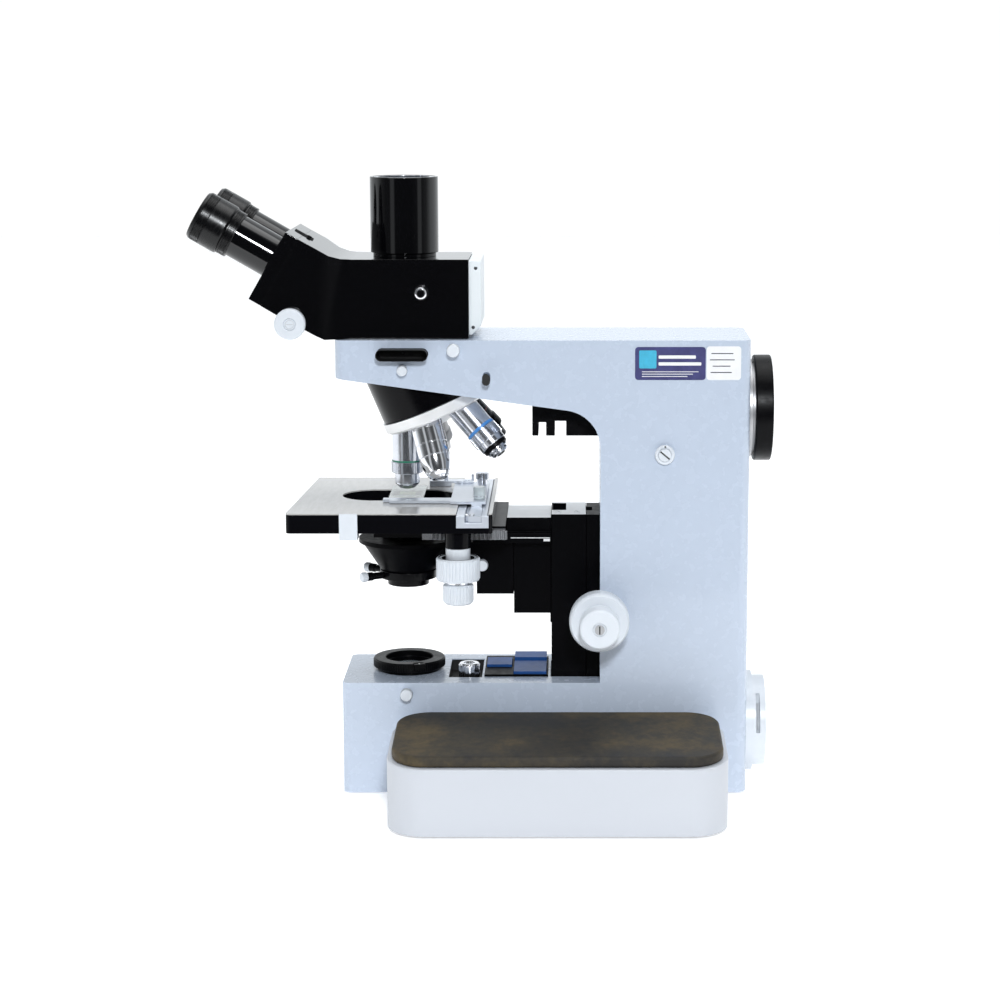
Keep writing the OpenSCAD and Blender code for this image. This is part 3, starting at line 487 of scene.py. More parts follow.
def finish_node(name, slot, bevel, segments=3, angle=28):
    """Paints a CAD node and softens its edges without touching its mesh."""
    obj = frame["nodes"][name]
    obj.data.materials.clear()
    obj.data.materials.append(MATS[slot])
    obj.data.shade_smooth()
    weld = obj.modifiers.new("Weld", "WELD")
    weld.merge_threshold = 2e-6
    flat = obj.modifiers.new("Flatten", "DECIMATE")
    flat.decimate_type = "DISSOLVE"
    flat.angle_limit = math.radians(0.6)
    if bevel:
        edge = obj.modifiers.new("Edge", "BEVEL")
        edge.limit_method = "ANGLE"
        edge.angle_limit = math.radians(angle)
        edge.width = bevel * MM
        edge.segments = segments
    obj.modifiers.new("Normals", "WEIGHTED_NORMAL")
    return obj


KEPT = {
    "stand_casting": ("stand_paint", 1.8), "base_plate": ("plate_steel", 0), "feet": ("foot_rubber", 0.3),
    "armrest_right": ("ivory_paint", 2.4), "armrest_left": ("ivory_paint", 2.4),
    "armrest_pads": ("pad", 2.2), "y_drive_pinion": ("steel", 0), "x_drive_shaft": ("steel", 0),
    "lamp_mount": ("ivory_plastic", 0.6), "port_flange": ("satin_grey", 0.4),
    "dust_cap": ("black_satin", 1.2),
    "field_lens": ("lens_glass", 0), "field_mirror": ("mirror_face", 0),
    "filter_carrier": ("carriage_black", 0.3),
    "filter_glasses": ("blue_glass", 0.2), "lamp_bracket": ("black_satin", 0.4),
    "focus_guide": ("carriage_black", 0.4),
    "nosepiece_body": ("nose_black", 0.6), "focus_slide": ("carriage_black", 0.5),
    "coarse_shaft": ("steel", 0),
    "fine_shaft": ("steel", 0), "stage_carrier": ("carriage_black", 0.5),
    "stage_bed": ("bed_finish", 0.4),
    "stage_plate": ("stage_finish", 0.5), "stage_strap": ("ivory_plastic", 0.3),
    "guide_rail": ("rail_steel", 0.3),
    "guide_carriage": ("rail_steel", 0.3), "guide_finger": ("rail_steel", 0.3),
    "condenser_holder": ("carriage_black", 0.5),
    "condenser_body": ("nose_black", 0.4), "nosepiece_turret": ("turret_silver", 0.5),
    "head_housing": ("black_paint", 1.6), "head_front_plate": ("black_paint", 0.8),
    "rear_plate": ("rear_ivory", 0.5),
}


def finish_kept_nodes():
    for name, (slot, bevel) in KEPT.items():
        finish_node(name, slot, bevel)


# ---------------------------------------------------------------- head

TUBE_TILT = Vector((0, -math.sin(math.radians(60)), math.cos(math.radians(60))))
FACE_CENTRE = (-95.8, 395.4)
TUBE_RISE = 5.8


def tube_frame(side):
    """Frame of one eyepiece tube: Z runs out to the eye, its origin is on the face plate."""
    up = Vector((0, 0.5, math.sin(math.radians(60))))
    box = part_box("oculars_right" if side > 0 else "oculars_left")
    x = (box[0].x + box[1].x) / 2
    origin = place(0, *FACE_CENTRE) + up * TUBE_RISE * MM
    origin.x = x
    return aimed(origin, TUBE_TILT, up)


def ocular(side):
    s = Shape()
    tube, cup, glass_m = 0, 1, 2
    # sleeve in the face plate and glossy tube
    s.lathe([(0, -7.5), (9.5, -7.5), (9.5, 0.5), (15.9, 0.5), (15.9, 31), (13.5, 31), (13.5, 24),
             (0, 24)], tube)
    # ribbed adjusting ring between two narrow lips
    s.lathe([(0, 30.8), (17.3, 30.8), (17.6, 31.2), (17.6, 31.9), (17.0, 32.1), (17.0, 36.6),
             (17.7, 36.8), (17.7, 37.7), (17.0, 38.2),
             (0, 38.2)], cup, fillet=0.12)
    s.ribs(17.5, 32.0, 36.7, 84, 0.45, cup, 0.5, 0.2, 15.0)
    # smooth body, ribbed front band and bevelled front
    s.lathe([(0, 38.0), (17.5, 38.0), (18.5, 38.5), (18.8, 39.4), (18.8, 52.2), (18.3, 52.5),
             (18.3, 58.9), (18.7, 59.2), (18.6, 59.9),
             (17.2, 61.9), (12.6, 61.9), (11.4, 60.2), (10.8, 57.5), (0, 57.5)], cup, fillet=0.15)
    s.ribs(18.7, 52.6, 58.8, 96, 0.4, cup, 0.5, 0.2, 16.0)
    s.lathe([(0, 57.6), (6, 58.3), (10.7, 57.6)], glass_m, fillet=0.1)
    name = "ocular_right_look" if side > 0 else "ocular_left_look"
    body, node = ("ocular_right", "oculars_right") if side > 0 else ("ocular_left", "oculars_left")
    s.build(name, ["black_paint", "ocular_black", "lens_glass"], tube_frame(side), body, "black_paint",
            [node])


def photo_tube():
    lo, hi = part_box("photo_tube")
    c = (lo + hi) / 2
    r = (hi.x - lo.x) / 2 / MM
    h = (hi.z - lo.z) / MM
    s = Shape()
    s.lathe([(19, 0), (r - 1.8, 0), (r - 1.8, 2.4), (r, 3.2), (r, h - 0.4), (r - 0.4, h), (r - 2.2, h),
             (r - 2.2, h - 1.2),
             (19.2, h - 1.2)], 0, 160, 0.3)
    s.lathe([(19.2, h - 1.2), (19.2, h - 6), (19.0, h - 6.5), (19.0, 0)], 1, 160, 0.1)
    s.lathe([(r - 2.2, h - 0.9), (r - 2.2, h - 0.3), (19.1, h - 0.3), (19.1, h - 0.9)], 1, 160, 0.1, True)
    for k in range(3):
        s.move = Matrix.Rotation(math.radians(30 + 120 * k), 4, "Z")
        s.box((17.2, -2, h - 6), (19.2, 2, h - 3.5), 1)
    s.move = Matrix.Identity(4)
    s.build("photo_tube_look", ["black_paint", "steel"], aimed(Vector((c.x, c.y, lo.z)), Z_AXIS), "head",
            "black_paint", ["photo_tube"])


def side_frame(y, z, x):
    """Frame on a right-hand face with Z pointing out."""
    return aimed(place(x, y, z), X_AXIS, Z_AXIS)


def pull_rod():
    joint_y, z = 14.2, 375.1
    s = Shape()
    s.lathe([(0, -27), (2.5, -27), (2.5, 2), (0, 2)], 1, 40)
    s.lathe([(0, 1.2), (5.1, 1.2), (5.1, 3.4), (4.9, 3.7), (5.0, 7.4), (4.2, 9.4), (3.2, 10), (0, 10)], 1,
            64, 0.6)
    s.lathe([(0, 9.9), (2.6, 9.9), (2.6, 10.2), (0, 10.4)], 2, 48, 0.1)
    frame_m = side_frame(joint_y, z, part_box("rear_plate")[1].x / MM + 2)
    s.build("pull_rod_look", ["black_anodised", "chrome", "black_paint"], frame_m, "beam_rod",
            "black_anodised", ["pull_rod"])


def ipd_knob():
    pos = Vector(JOINTS["ipd_knob_turn"]["pos_m"])
    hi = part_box("ipd_knob")[1]
    r = (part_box("ipd_knob")[1].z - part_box("ipd_knob")[0].z) / 2 / MM
    h = (hi.x - pos.x) / MM
    s = Shape()
    s.lathe([(0, -9), (3, -9), (3, 1.5), (r - 0.8, 1.5), (r, 2.3), (r, h - 1.0), (r - 1.0, h), (4.9, h),
             (4.4, h - 0.5),
             (4.4, h - 1.4), (0, h - 1.4)], 0, 96, 0.4)
    s.ribs(r, 2.2, h - 1.1, 48, 0.22, 0, 0.6, 0.2, r - 2)
    s.lathe([(0, h - 1.5), (3.9, h - 1.5), (3.9, h - 0.9), (3.5, h - 0.7), (0, h - 0.7)], 0, 48, 0.15)
    s.lathe([(2.9, h - 0.75), (3.1, h - 0.75), (3.1, h - 0.66), (2.9, h - 0.66)], 1, 48, 0.02, True)
    s.box((-2.4, -0.12, h - 0.72), (2.4, 0.12, h - 0.66), 1, 0)
    s.build("ipd_knob_look", ["ivory_plastic", "satin_grey"], aimed(pos, X_AXIS, Z_AXIS), "ipd_drive",
            "light_alloy", ["ipd_knob"])


def small_screw(s, x, y, z, r, h, mat, slot_shade_mat, angle=30):
    """A slotted screw head standing up from (x, y, z)."""
    keep = s.move.copy()
    s.move = keep @ Matrix.Translation((x, y, z)) @ Matrix.Rotation(math.radians(angle), 4, "Z")
    s.lathe([(0, 0), (r, 0), (r, h), (0, h)], mat, 32, 0.15)
    # the slot is a thin dark box on the head: painted shade of the slot
    s.box((-r * 0.85, -r * 0.14, h - 0.02), (r * 0.85, r * 0.14, h + 0.03), slot_shade_mat, 0)
    s.move = keep


def head_trim():
    """Screws of the prism housing and the slot on its sloping top."""
    s = Shape()
    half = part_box("rear_plate")[1].x / MM
    for y, z in ((53.6, 392.5), (51.5, 349.5)):
        s.move = aimed(place(half, y, z), X_AXIS, Z_AXIS)
        s.move.translation /= MM
        small_screw(s, 0, 0, -0.2, 1.3, 0.7, 0, 2)
    # black bar along the slot on the sloping top, its black painted shade of the slot, and a screw beside it
    slope = Vector((0, math.cos(math.radians(-29)), math.sin(math.radians(-29))))
    s.move = aimed(place(5, -73, 414.9), slope.cross(X_AXIS) * -1, slope)
    s.move.translation /= MM
    s.box((-1.3, -7.5, -0.6), (1.3, 7.5, 0.5), 2, 0.15)
    small_screw(s, 1.0, 4.2, 0, 1.7, 1.0, 1, 2)
    s.build("rear_plate_screws", ["steel", "black_satin", "painted_shade_black"], Matrix.Identity(4), "head",
            "steel")


def build_head():
    ocular(1)
    ocular(-1)
    photo_tube()
    pull_rod()
    ipd_knob()
    head_trim()


# ---------------------------------------------------------------- objectives

TURRET_R = 63


def objective_frame(k):
    """Frame of the k-th objective: Z runs down its axis from the shoulder."""
    turn = Matrix.Rotation(math.radians(72 * k), 4, -TURRET_AXIS)
    down = turn @ Vector((0, 0, -1))
    return aimed(APEX + down * TURRET_R * MM, down, turn @ Y_AXIS)


def tip(s, r, z, mat, glass_mat):
    """Front cone with its recessed lens."""
    s.lathe([(r, z), (r * 0.62, z + 1.2), (r * 0.5, z + 1.2), (r * 0.42, z + 0.7), (0, z + 0.7)], mat, 64,
            0.15)
    s.lathe([(0, z + 0.9), (r * 0.4, z + 0.8)], glass_mat, 48, 0.1)


def objective_1():
    """Low-power objective standing over the specimen: plain barrel, green line, ribbed ring."""
    s = Shape()
    s.lathe([(0, 0), (11.2, 0), (11.2, 25.4), (10.8, 25.6), (10.8, 34.9), (10.2, 35.2), (9.2, 35.4),
             (9.2, 42.4), (8.8, 43.2), (8.2, 43.4),
             (8.2, 44.0), (5.6, 46.4), (0, 46.4)], 0, 96, 0.12)
    s.lathe([(11.15, 25.0), (11.45, 25.0), (11.45, 26.2), (11.15, 26.2)], 1, 96, 0.05, True)
    s.ribs(11.8, 26.5, 34.6, 54, 0.5, 0, 0.5, 0.25, 9.0)
    tip(s, 5.2, 45.8, 0, 2)
    s.build("objective_1_look", ["steel", "band_green", "lens_glass"], objective_frame(0), "turret",
            "steel", ["objective_1"])


def objective_2():
    """Wide chromed objective with two fine grooves and a stepped cone."""
    s = Shape()
    s.lathe([(0, 0), (11.6, 0), (11.8, 0.8), (11.8, 17.8), (11.5, 18.0), (11.5, 18.5), (11.8, 18.7),
             (11.7, 27.6), (11.3, 27.8),
             (11.3, 28.3), (11.4, 28.5), (10.9, 34.0), (9.0, 39.6), (8.5, 39.8), (8.5, 40.5), (7.2, 42.6),
             (6.6, 42.8), (5.6, 44.2),
             (0, 44.2)], 0, 96, 0.1)
    s.lathe([(11.75, 6.6), (11.9, 6.6), (11.9, 6.9), (11.75, 6.9)], 1, 96, 0.03, True)
    tip(s, 5.4, 43.4, 0, 2)
    s.build("objective_2_look", ["chrome", "satin_grey", "lens_glass"], objective_frame(1), "turret",
            "steel", ["objective_2"])


def objective_3():
    """High-power objective: blue line, ribbed ring and a stepped front."""
    s = Shape()
    s.lathe([(0, 0), (11.2, 0), (11.2, 24.0), (10.8, 24.2), (10.8, 34), (10.6, 34.2), (10.6, 38.2),
             (10.2, 38.6)], 0, 96, 0.12)
    s.lathe([(10.2, 38.6), (9.8, 39.0), (9.8, 41.0), (8.4, 42.0)], 3, 96, 0.12)
    s.lathe([(8.4, 42.0), (8.4, 43.2), (7.0, 44.2), (7.0, 45.4), (5.4, 46.8), (0, 46.8)], 0, 96, 0.12)
    s.lathe([(11.15, 22.4), (11.5, 22.4), (11.5, 24.6), (11.15, 24.6)], 1, 96, 0.05, True)
    s.ribs(11.9, 24.8, 33.8, 54, 0.5, 0, 0.5, 0.25, 9.0)
    tip(s, 5.2, 46.0, 3, 2)
    s.build("objective_3_look", ["steel", "band_blue", "lens_glass", "black_satin"], objective_frame(2),
            "turret", "steel", ["objective_3"])


def objective_4():
    """Black oil-immersion objective."""
    s = Shape()
    s.lathe([(0, 0), (10.8, 0), (10.8, 22), (11.3, 22.6), (11.3, 32), (9, 32.6), (8, 41), (5, 42),
             (0, 42)], 0, 96, 0.12)
    s.ribs(11.6, 23.0, 31.4, 54, 0.5, 0, 0.5, 0.25, 9.0)
    s.lathe([(10.75, 15.0), (10.9, 15.0), (10.9, 16.4), (10.75, 16.4)], 1, 96, 0.05, True)
    tip(s, 5, 41, 0, 2)
    s.build("objective_4_look", ["black_anodised", "band_red", "lens_glass"], objective_frame(3),
            "turret", "steel", ["objective_4"])


def objective_5():
    """Short survey objective."""
    s = Shape()
    s.lathe([(0, 0), (10.8, 0), (10.8, 16), (11.3, 16.6), (11.3, 24), (9, 24.6), (7.5, 33), (5, 34),
             (0, 34)], 0, 96, 0.12)
    s.ribs(11.6, 17.0, 23.6, 54, 0.5, 0, 0.5, 0.25, 9.0)
    tip(s, 5, 33, 0, 1)
    s.build("objective_5_look", ["satin_grey", "lens_glass"], objective_frame(4), "turret", "steel",
            ["objective_5"])


def build_nosepiece():
    objective_1()
    objective_2()
    objective_3()
    objective_4()
    objective_5()


# ---------------------------------------------------------------- stand fittings

def side_knob(name, node, joint, body, r, h, mat, slot):
    """Small knurled knob on the right side of the stand."""
    pos = Vector(JOINTS[joint]["pos_m"])
    s = Shape()
    s.lathe([(0, -5), (2.2, -5), (2.2, 1), (r - 0.25, 0.6), (r - 0.25, h - 0.6), (r - 0.9, h), (0, h)], 0,
            64)
    s.knurl(r, 0.9, h - 0.8, 28, 5, 0.3, 0)
    s.build(name, [mat], aimed(pos, X_AXIS, Z_AXIS), body, slot, [node])


def lock_switch():
    pos = Vector(JOINTS["switch_turn"]["pos_m"])
    s = Shape()
    s.lathe([(0, -7), (3.1, -7), (3.1, 0.4), (7.2, 0.4), (7.3, 2.6), (6.6, 3.4), (4.9, 3.4), (4.9, 2.6),
             (0, 2.6)], 0, 80)
    s.lathe([(0, 2.5), (4.6, 2.5), (4.6, 5), (0, 5)], 0, 64)
    # dark slot line across the top: painted shade of the slot; the small dot beside it is in the same
    # painted-shade black
    s.move = Matrix.Rotation(math.radians(-40), 4, "Z")
    s.box((-4.4, -0.55, 4.95), (4.4, 0.55, 5.03), 1, 0)
    s.move = Matrix.Translation((0.2, 6.0, 0))
    s.lathe([(0, 3.3), (0.7, 3.3), (0.7, 3.5), (0, 3.5)], 1, 24, 0.05)
    s.build("lock_switch_look", ["ivory_plastic", "painted_shade_black"], aimed(pos, X_AXIS, Z_AXIS), "switch",
            "light_alloy", ["lock_switch"])


def focus_knobs():
    coarse, fine = Shape(), Shape()
    r = (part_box("coarse_knobs")[1].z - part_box("coarse_knobs")[0].z) / 2 / MM
    rf = (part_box("fine_knobs")[1].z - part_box("fine_knobs")[0].z) / 2 / MM
    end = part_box("fine_knobs")[1].x / MM
    for side in (1, -1):
        turn = Matrix.Rotation(math.radians(90 * side), 4, "Y")
        coarse.move = fine.move = turn
        coarse.lathe([(0, 58), (12, 58), (12, 62), (r - 1.2, 62), (r - 0.5, 62.7), (r - 0.5, 76.2),
                      (r - 1.6, 78), (5, 78), (5, 74),
                      (0, 74)], 0, 128, 0.5)
        coarse.ribs(r, 63.4, 75.2, 96, 0.45, 0, 0.55, 0.5, r - 3)
        fine.lathe([(0, 78.5), (rf - 0.5, 78.5), (rf - 0.4, 79.2), (rf - 0.4, 82), (rf, 82.2), (rf, 97.3),
                    (rf - 1.2, 98.5), (5.0, 98.5), (4.7, 97.6), (0, 97.6)], 0, 96, 0.5)
        fine.ribs(rf, 79.6, 81.4, 90, 0.3, 0, 0.5, 0.2, rf - 3)
        small_screw(fine, 0, 0, 97.5, 3.5, end - 97.5, 1, 2, 0 if side > 0 else 90)
    coarse.build("coarse_knobs_look", ["ivory_plastic"], aimed(FOCUS, Z_AXIS), "coarse_drive",
                 "ivory_plastic", ["coarse_knobs"])
    fine.build("fine_knobs_look", ["ivory_plastic", "satin_grey", "painted_shade_black"], aimed(FOCUS, Z_AXIS),
               "fine_drive", "ivory_plastic", ["fine_knobs"])


def labels():
    """Two plain labels with simple bars in place of any lettering."""
    lo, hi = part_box("service_labels")
    s = Shape()
    s.move = Matrix.Translation((lo.x / MM, lo.y / MM, lo.z / MM)) @ Matrix(((0, 0, 1, 0), (1, 0, 0, 0),
            (0, 1, 0, 0), (0, 0, 0, 1)))
    w, h = (hi.y - lo.y) / MM, (hi.z - lo.z) / MM
    split = 51.2
    s.slab(round_rect(0, 0, split, h - 0.5, 2.4), 0, 0.16, 1)
    s.slab(round_rect(split + 0.6, 0, w, h, 2.4), 0, 0.16, 0)
    s.slab(round_rect(3.0, 8.5, 15.5, h - 3, 1.0), 0.15, 0.2, 3)
    s.slab(round_rect(17.0, h - 9.0, 44, h - 6.6, 0.6), 0.15, 0.2, 2)
    s.slab(round_rect(17.0, h - 14.0, 48, h - 11.6, 0.6), 0.15, 0.2, 2)
    for k in range(3):
        s.slab(round_rect(5, 5.8 - 1.7 * k, 46 - 4 * k, 6.3 - 1.7 * k, 0.2), 0.15, 0.2, 2)
    for k, (a, b) in enumerate(((4, 20), (3, 21), (5, 18), (3.5, 19))):
        s.slab(round_rect(split + a, h - 5.6 - 4.6 * k, split + b, h - 4.9 - 4.6 * k, 0.3), 0.15, 0.2, 4)
    s.build("service_labels_look", ["label_film", "label_blue", "label_film", "label_cyan", "label_ink"],
            Matrix.Identity(4), "stand", "label_film", ["service_labels"])


def slot_painted_shade():
    """Black sheets inside the slot through the limb's side: painted shade where the slot is dark."""
    y, z = 0.3, 331.1
    s = Shape()
    rings = []
    for depth, cut in ((-0.6, 0.0), (-0.6, 0.35), (-18, 0.35), (-18, 18)):
        outline = stadium(18.85 - cut, 4.25 - min(cut, 4.1))
        rings.append([(px, py, depth) for px, py in outline])
    s.rings(rings, 0, False)
    s.build("slot_painted_shade", ["painted_shade_black"], side_frame(y, z, STAND_SIDE / MM), "stand", "black_satin")


def hole_painted_shade():
    """A black oval on the small hole in the limb's side: painted shade of the hole."""
    box_y, box_z = 61.3, 313.7
    s = Shape()
    s.move = side_frame(box_y, box_z, STAND_SIDE / MM)
    s.move.translation /= MM
    s.slab([(-y, x) for x, y in stadium(4.3, 2.9)], -0.5, 0.05, 0)
    s.build("hole_painted_shade", ["painted_shade_black"], Matrix.Identity(4), "stand", "black_satin")


def build_stand():
    side_knob("slot_screw_look", "slot_screw", "slot_knob_turn", "slot_knob", 3.9, 7, "ivory_plastic",
              "light_alloy")
    side_knob("head_clamp_look", "head_clamp_screw", "head_clamp_turn", "head_clamp", 4.8, 9,
              "ivory_plastic", "light_alloy")
    side_knob("base_screw_look", "base_screw", "base_knob_turn", "base_knob", 4.6, 8, "ivory_plastic",
              "light_alloy")
    lock_switch()
    focus_knobs()
    labels()
    slot_painted_shade()
    hole_painted_shade()


# ---------------------------------------------------------------- base top

def field_ring():
    lo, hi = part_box("field_ring")
    r, top = 27.2, (hi.z - lo.z) / MM
    centre = Vector((APEX.x, APEX.y, lo.z))
    s = Shape()
    s.lathe([(17.1, 0), (24, 0), (24, 2.1), (r - 0.4, 2.5), (r - 0.4, top - 0.6), (r - 1.0, top),
             (18.4, top), (17.9, top - 0.6),
             (17.8, 5), (17.1, 5)], 0, 128, 0.3, True)
    s.ribs(r, 2.8, top - 1.2, 90, 0.4, 0, 0.5, 0.3, r - 3)
    s.move = Matrix.Rotation(math.radians(20), 4, "Z")
    s.box((r - 5.5, -4.2, top - 4), (r + 1.0, 4.2, top), 0)
    s.box((r - 2.2, -0.5, top), (r + 0.4, 0.5, top + 0.04), 1, 0)
    s.build("field_ring_look", ["black_satin", "white_mark"], aimed(centre, Z_AXIS), "field_diaphragm",
            "black_satin", ["field_ring"])


def mirror_knob():
    pos = Vector(JOINTS["mirror_knob_turn"]["pos_m"])
    z1 = (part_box("mirror_screw")[1].z - pos.z) / MM
    z0 = (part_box("mirror_screw")[0].z - pos.z) / MM
    s = Shape()
    s.lathe([(0, z0), (3, z0), (3, -1), (5.5, -1), (5.5, 2.2), (7.4, 2.6), (7.4, z1 - 0.6), (6.8, z1),
             (4.2, z1), (4.0, z1 - 1.6),
             (0, z1 - 1.6)], 0, 64)
    s.ribs(8.0, 3.2, z1 - 0.8, 20, 0.8, 0, 0.5, 0.5, 5)
    s.build("mirror_knob_look", ["chrome"], aimed(pos, Z_AXIS), "mirror_knob", "chrome", ["mirror_screw"])


def recess_painted_shade():
    """Black walls and floor in the open recess round the mirror knob: painted shade inside the hollow base."""
    y0 = AXIS_Y / MM
    s = Shape()
    rim = [(-29.8, y0 + 31.2), (27.8, y0 + 31.2), (27.8, y0 + 55.8), (-29.8, y0 + 55.8)]
    s.rings([[(x, y, 85.3) for x, y in rim], [(x, y, 77.2) for x, y in rim], [(0, y0 + 43, 77.2)]], 0,
            False)
    s.build("recess_painted_shade", ["painted_shade_black"], Matrix.Identity(4), "stand", "black_satin")


def build_base():
    recess_painted_shade()
    field_ring()
    mirror_knob()


# ---------------------------------------------------------------- stage and condenser

def drive_knobs():
    pos = Vector(JOINTS["y_knob_turn"]["pos_m"])
    up = aimed(Vector((pos.x, pos.y, 0)), Z_AXIS)
    s = Shape()
    s.lathe([(4.05, 181.5), (9, 181.5), (9, 192.2), (8.6, 192.4), (4.05, 192.4)], 0, 64, 0.2, True)
    s.lathe([(4.05, 168.5), (15.3, 168.5), (15.3, 185.0), (14.6, 185.5), (14, 185.2), (13.6, 182),
             (4.05, 182)], 0, 96, 0.3, True)
    s.ribs(16, 169.3, 184.8, 40, 0.8, 0, 0.55, 0.6, 12)
    # dark ring lining the recess in the knob's top: painted shade
    s.lathe([(9.2, 181.9), (13.8, 181.9), (14.3, 185.45), (14.1, 185.6), (13.4, 182.3), (9.2, 182.2)], 2,
            64, 0.05, True)
    s.build("y_drive_knob_look", ["ivory_plastic", "satin_grey", "painted_shade_black"], up, "y_drive",
            "light_alloy", ["y_drive_knob"])
    s = Shape()
    s.lathe([(0, 150.9), (9.4, 150.9), (10.6, 151.9), (10.6, 165), (10, 165.6), (8, 165.8), (8, 168),
             (0, 168)], 0, 96)
    s.ribs(11.2, 152.2, 165.0, 30, 0.7, 0, 0.55, 0.6, 8)
    s.lathe([(8.0, 165.9), (8.4, 165.9), (8.4, 167.9), (8.0, 167.9)], 1, 64, 0.05, True)
    s.build("x_drive_knob_look", ["ivory_plastic", "chrome"], up, "x_drive", "light_alloy",
            ["x_drive_knob"])


def guide_screws():
    """Clear cap and knurled screw of the object guide, with the finger's pivot disc and stop pin."""
    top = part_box("guide_carriage")[1].z / MM
    y0 = AXIS_Y / MM
    s = Shape()
    s.move = Matrix.Translation((31, y0 + 55, top))
    s.lathe([(0, 0), (3.9, 0), (4.4, 0.5), (4.4, 8.6), (4.0, 9.3), (0, 9.5)], 1, 48)
    s.lathe([(4.35, 2.0), (4.5, 2.0), (4.5, 2.5), (4.35, 2.5)], 0, 48, 0.03, True)
    s.move = Matrix.Translation((-31, y0 + 55, top))
    s.lathe([(0, 0), (3.4, 0), (3.4, 4), (4.7, 4.3), (4.7, 9.2), (4.2, 9.6), (0, 9.6)], 0, 48)
    s.ribs(4.95, 4.6, 9.2, 34, 0.3, 0, 0.5, 0.2, 3)
    s.build("guide_screws_look", ["steel", "clear_cap"], Matrix.Identity(4), "stage_x", "steel",
            ["guide_screws"])
    s = Shape()
    s.move = Matrix.Translation((-40, y0 + 43, top))
    s.lathe([(0, 0), (4.6, 0), (4.9, 0.3), (4.9, 1.3), (4.5, 1.6), (2.6, 1.7), (2.4, 2.4), (0, 2.4)], 0,
            48, 0.1)
    s.move = Matrix.Translation((-50, y0 + 47, top))
    s.lathe([(0, -0.3), (1.0, -0.3), (1.0, 5), (0, 5)], 0, 24, 0.2)
    s.build("finger_pivot", ["rail_steel"], Matrix.Identity(4), "stage_x", "steel")


def specimen():
    lo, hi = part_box("specimen_slide")
    s = Shape()
    x0, y0, z0 = lo.x / MM, lo.y / MM, lo.z / MM
    x1, y1, z1 = hi.x / MM, hi.y / MM, hi.z / MM
    s.box((x0, y0, z0), (x1, y1, z1), 0, 0.05)
    s.box((x1 - 17, y0 + 0.4, z1), (x1 - 0.4, y1 - 0.4, z1 + 0.06), 1, 0)
    s.box((-11, y0 + 2, z1), (11, y1 - 2, z1 + 0.14), 0, 0)
    s.box((-8, AXIS_Y / MM - 6, z1 - 0.02), (7, AXIS_Y / MM + 6, z1 + 0.01), 2, 0)
    s.build("specimen_look", ["slide_glass", "paper", "specimen"], Matrix.Identity(4), "stage_x",
            "slide_glass", ["specimen_slide"])


def centring_screws():
    for side, name in ((1, "right"), (-1, "left")):
        joint = JOINTS["centring_%s_turn" % name]
        s = Shape()
        s.lathe([(0, 0), (2.6, 0), (2.6, 8), (3.2, 8.4), (3.2, 13), (0, 13)], 1, 40)
        s.lathe([(0, 13), (3.4, 13), (3.4, 17.2), (3.0, 17.6), (0, 17.6)], 0, 48)
        s.knurl(3.7, 13.4, 17.0, 22, 3, 0.3, 0)
        s.build("centring_%s_look" % name, ["ivory_plastic", "black_satin"],
                aimed(Vector(joint["pos_m"]), joint["axis"]),
                "centring_" + name, "black_anodised", ["centring_screw_" + name])


def condenser_knob():
    pos = Vector(JOINTS["condenser_knob_turn"]["pos_m"])
    s = Shape()
    s.lathe([(0, 0.3), (4.1, 0.3), (4.1, 6.4), (3.6, 7), (0, 7)], 0, 48)
    s.knurl(4.4, 1, 6, 24, 4, 0.3, 0)
    s.build("condenser_knob_look", ["ivory_plastic"], aimed(pos, X_AXIS), "condenser_drive",
            "light_alloy", ["condenser_knob"])


def arm_covers():
    """Pale cover plates on the stage arm and on the top of the focusing slide."""
    lo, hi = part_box("stage_carrier")
    s = Shape()
    y0 = AXIS_Y / MM
    s.box((-25.2, y0 + 75.2, hi.z / MM - 0.2), (25.2, hi.y / MM - 5.2, hi.z / MM + 0.25), 0, 0.1)
    s.box((29.9, y0 + 78, 192.4), (30.12, y0 + 107, 193.0), 0, 0)
    s.box((29.9, y0 + 102.3, 190.2), (30.6, y0 + 107, 192.0), 0, 0)
    s.build("arm_cover", ["cover_grey"], Matrix.Identity(4), "coarse_slide", "light_alloy")
    lo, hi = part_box("focus_slide")
    z = hi.z / MM
    s = Shape()
    for x_span, y_span in (((-24.8, -23), (108.2, 133.6)), ((8, 24.8), (108.2, 133.6)),
                           ((-23, 8), (119, 133.6))):
        s.box((x_span[0], y0 + y_span[0], z - 0.3), (x_span[1], y0 + y_span[1], z + 0.2), 0, 0.0)
    small_screw(s, 16, y0 + 113, z + 0.15, 2.2, 0.6, 0, 1)
    small_screw(s, 16, y0 + 127, z + 0.15, 2.2, 0.6, 0, 1)
    s.build("slide_cover", ["cover_grey", "painted_shade_black"], Matrix.Identity(4), "coarse_slide",
            "light_alloy")


def rail_shade_lines():
    """Dark lines along the top of the guide rail: painted shade in its slot and along its edge."""
    lo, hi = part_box("guide_rail")
    y0, z = AXIS_Y / MM, hi.z / MM
    s = Shape()
    s.box((lo.x / MM + 0.4, y0 + 62.2, z - 0.3), (hi.x / MM - 0.4, y0 + 62.9, z + 0.03), 0, 0)
    s.box((72.6, y0 + 49.6, z - 0.3), (hi.x / MM - 1, y0 + 50.1, z + 0.03), 0, 0)
    s.box((72.6, y0 + 52.4, z - 0.3), (hi.x / MM - 1, y0 + 52.9, z + 0.03), 0, 0)
    s.build("rail_shade_lines", ["painted_shade_black"], Matrix.Identity(4), "stage_y", "steel")


def build_stage():
    rail_shade_lines()
    arm_covers()
    drive_knobs()
    guide_screws()
    specimen()
    centring_screws()
    condenser_knob()


# ---------------------------------------------------------------- set and camera

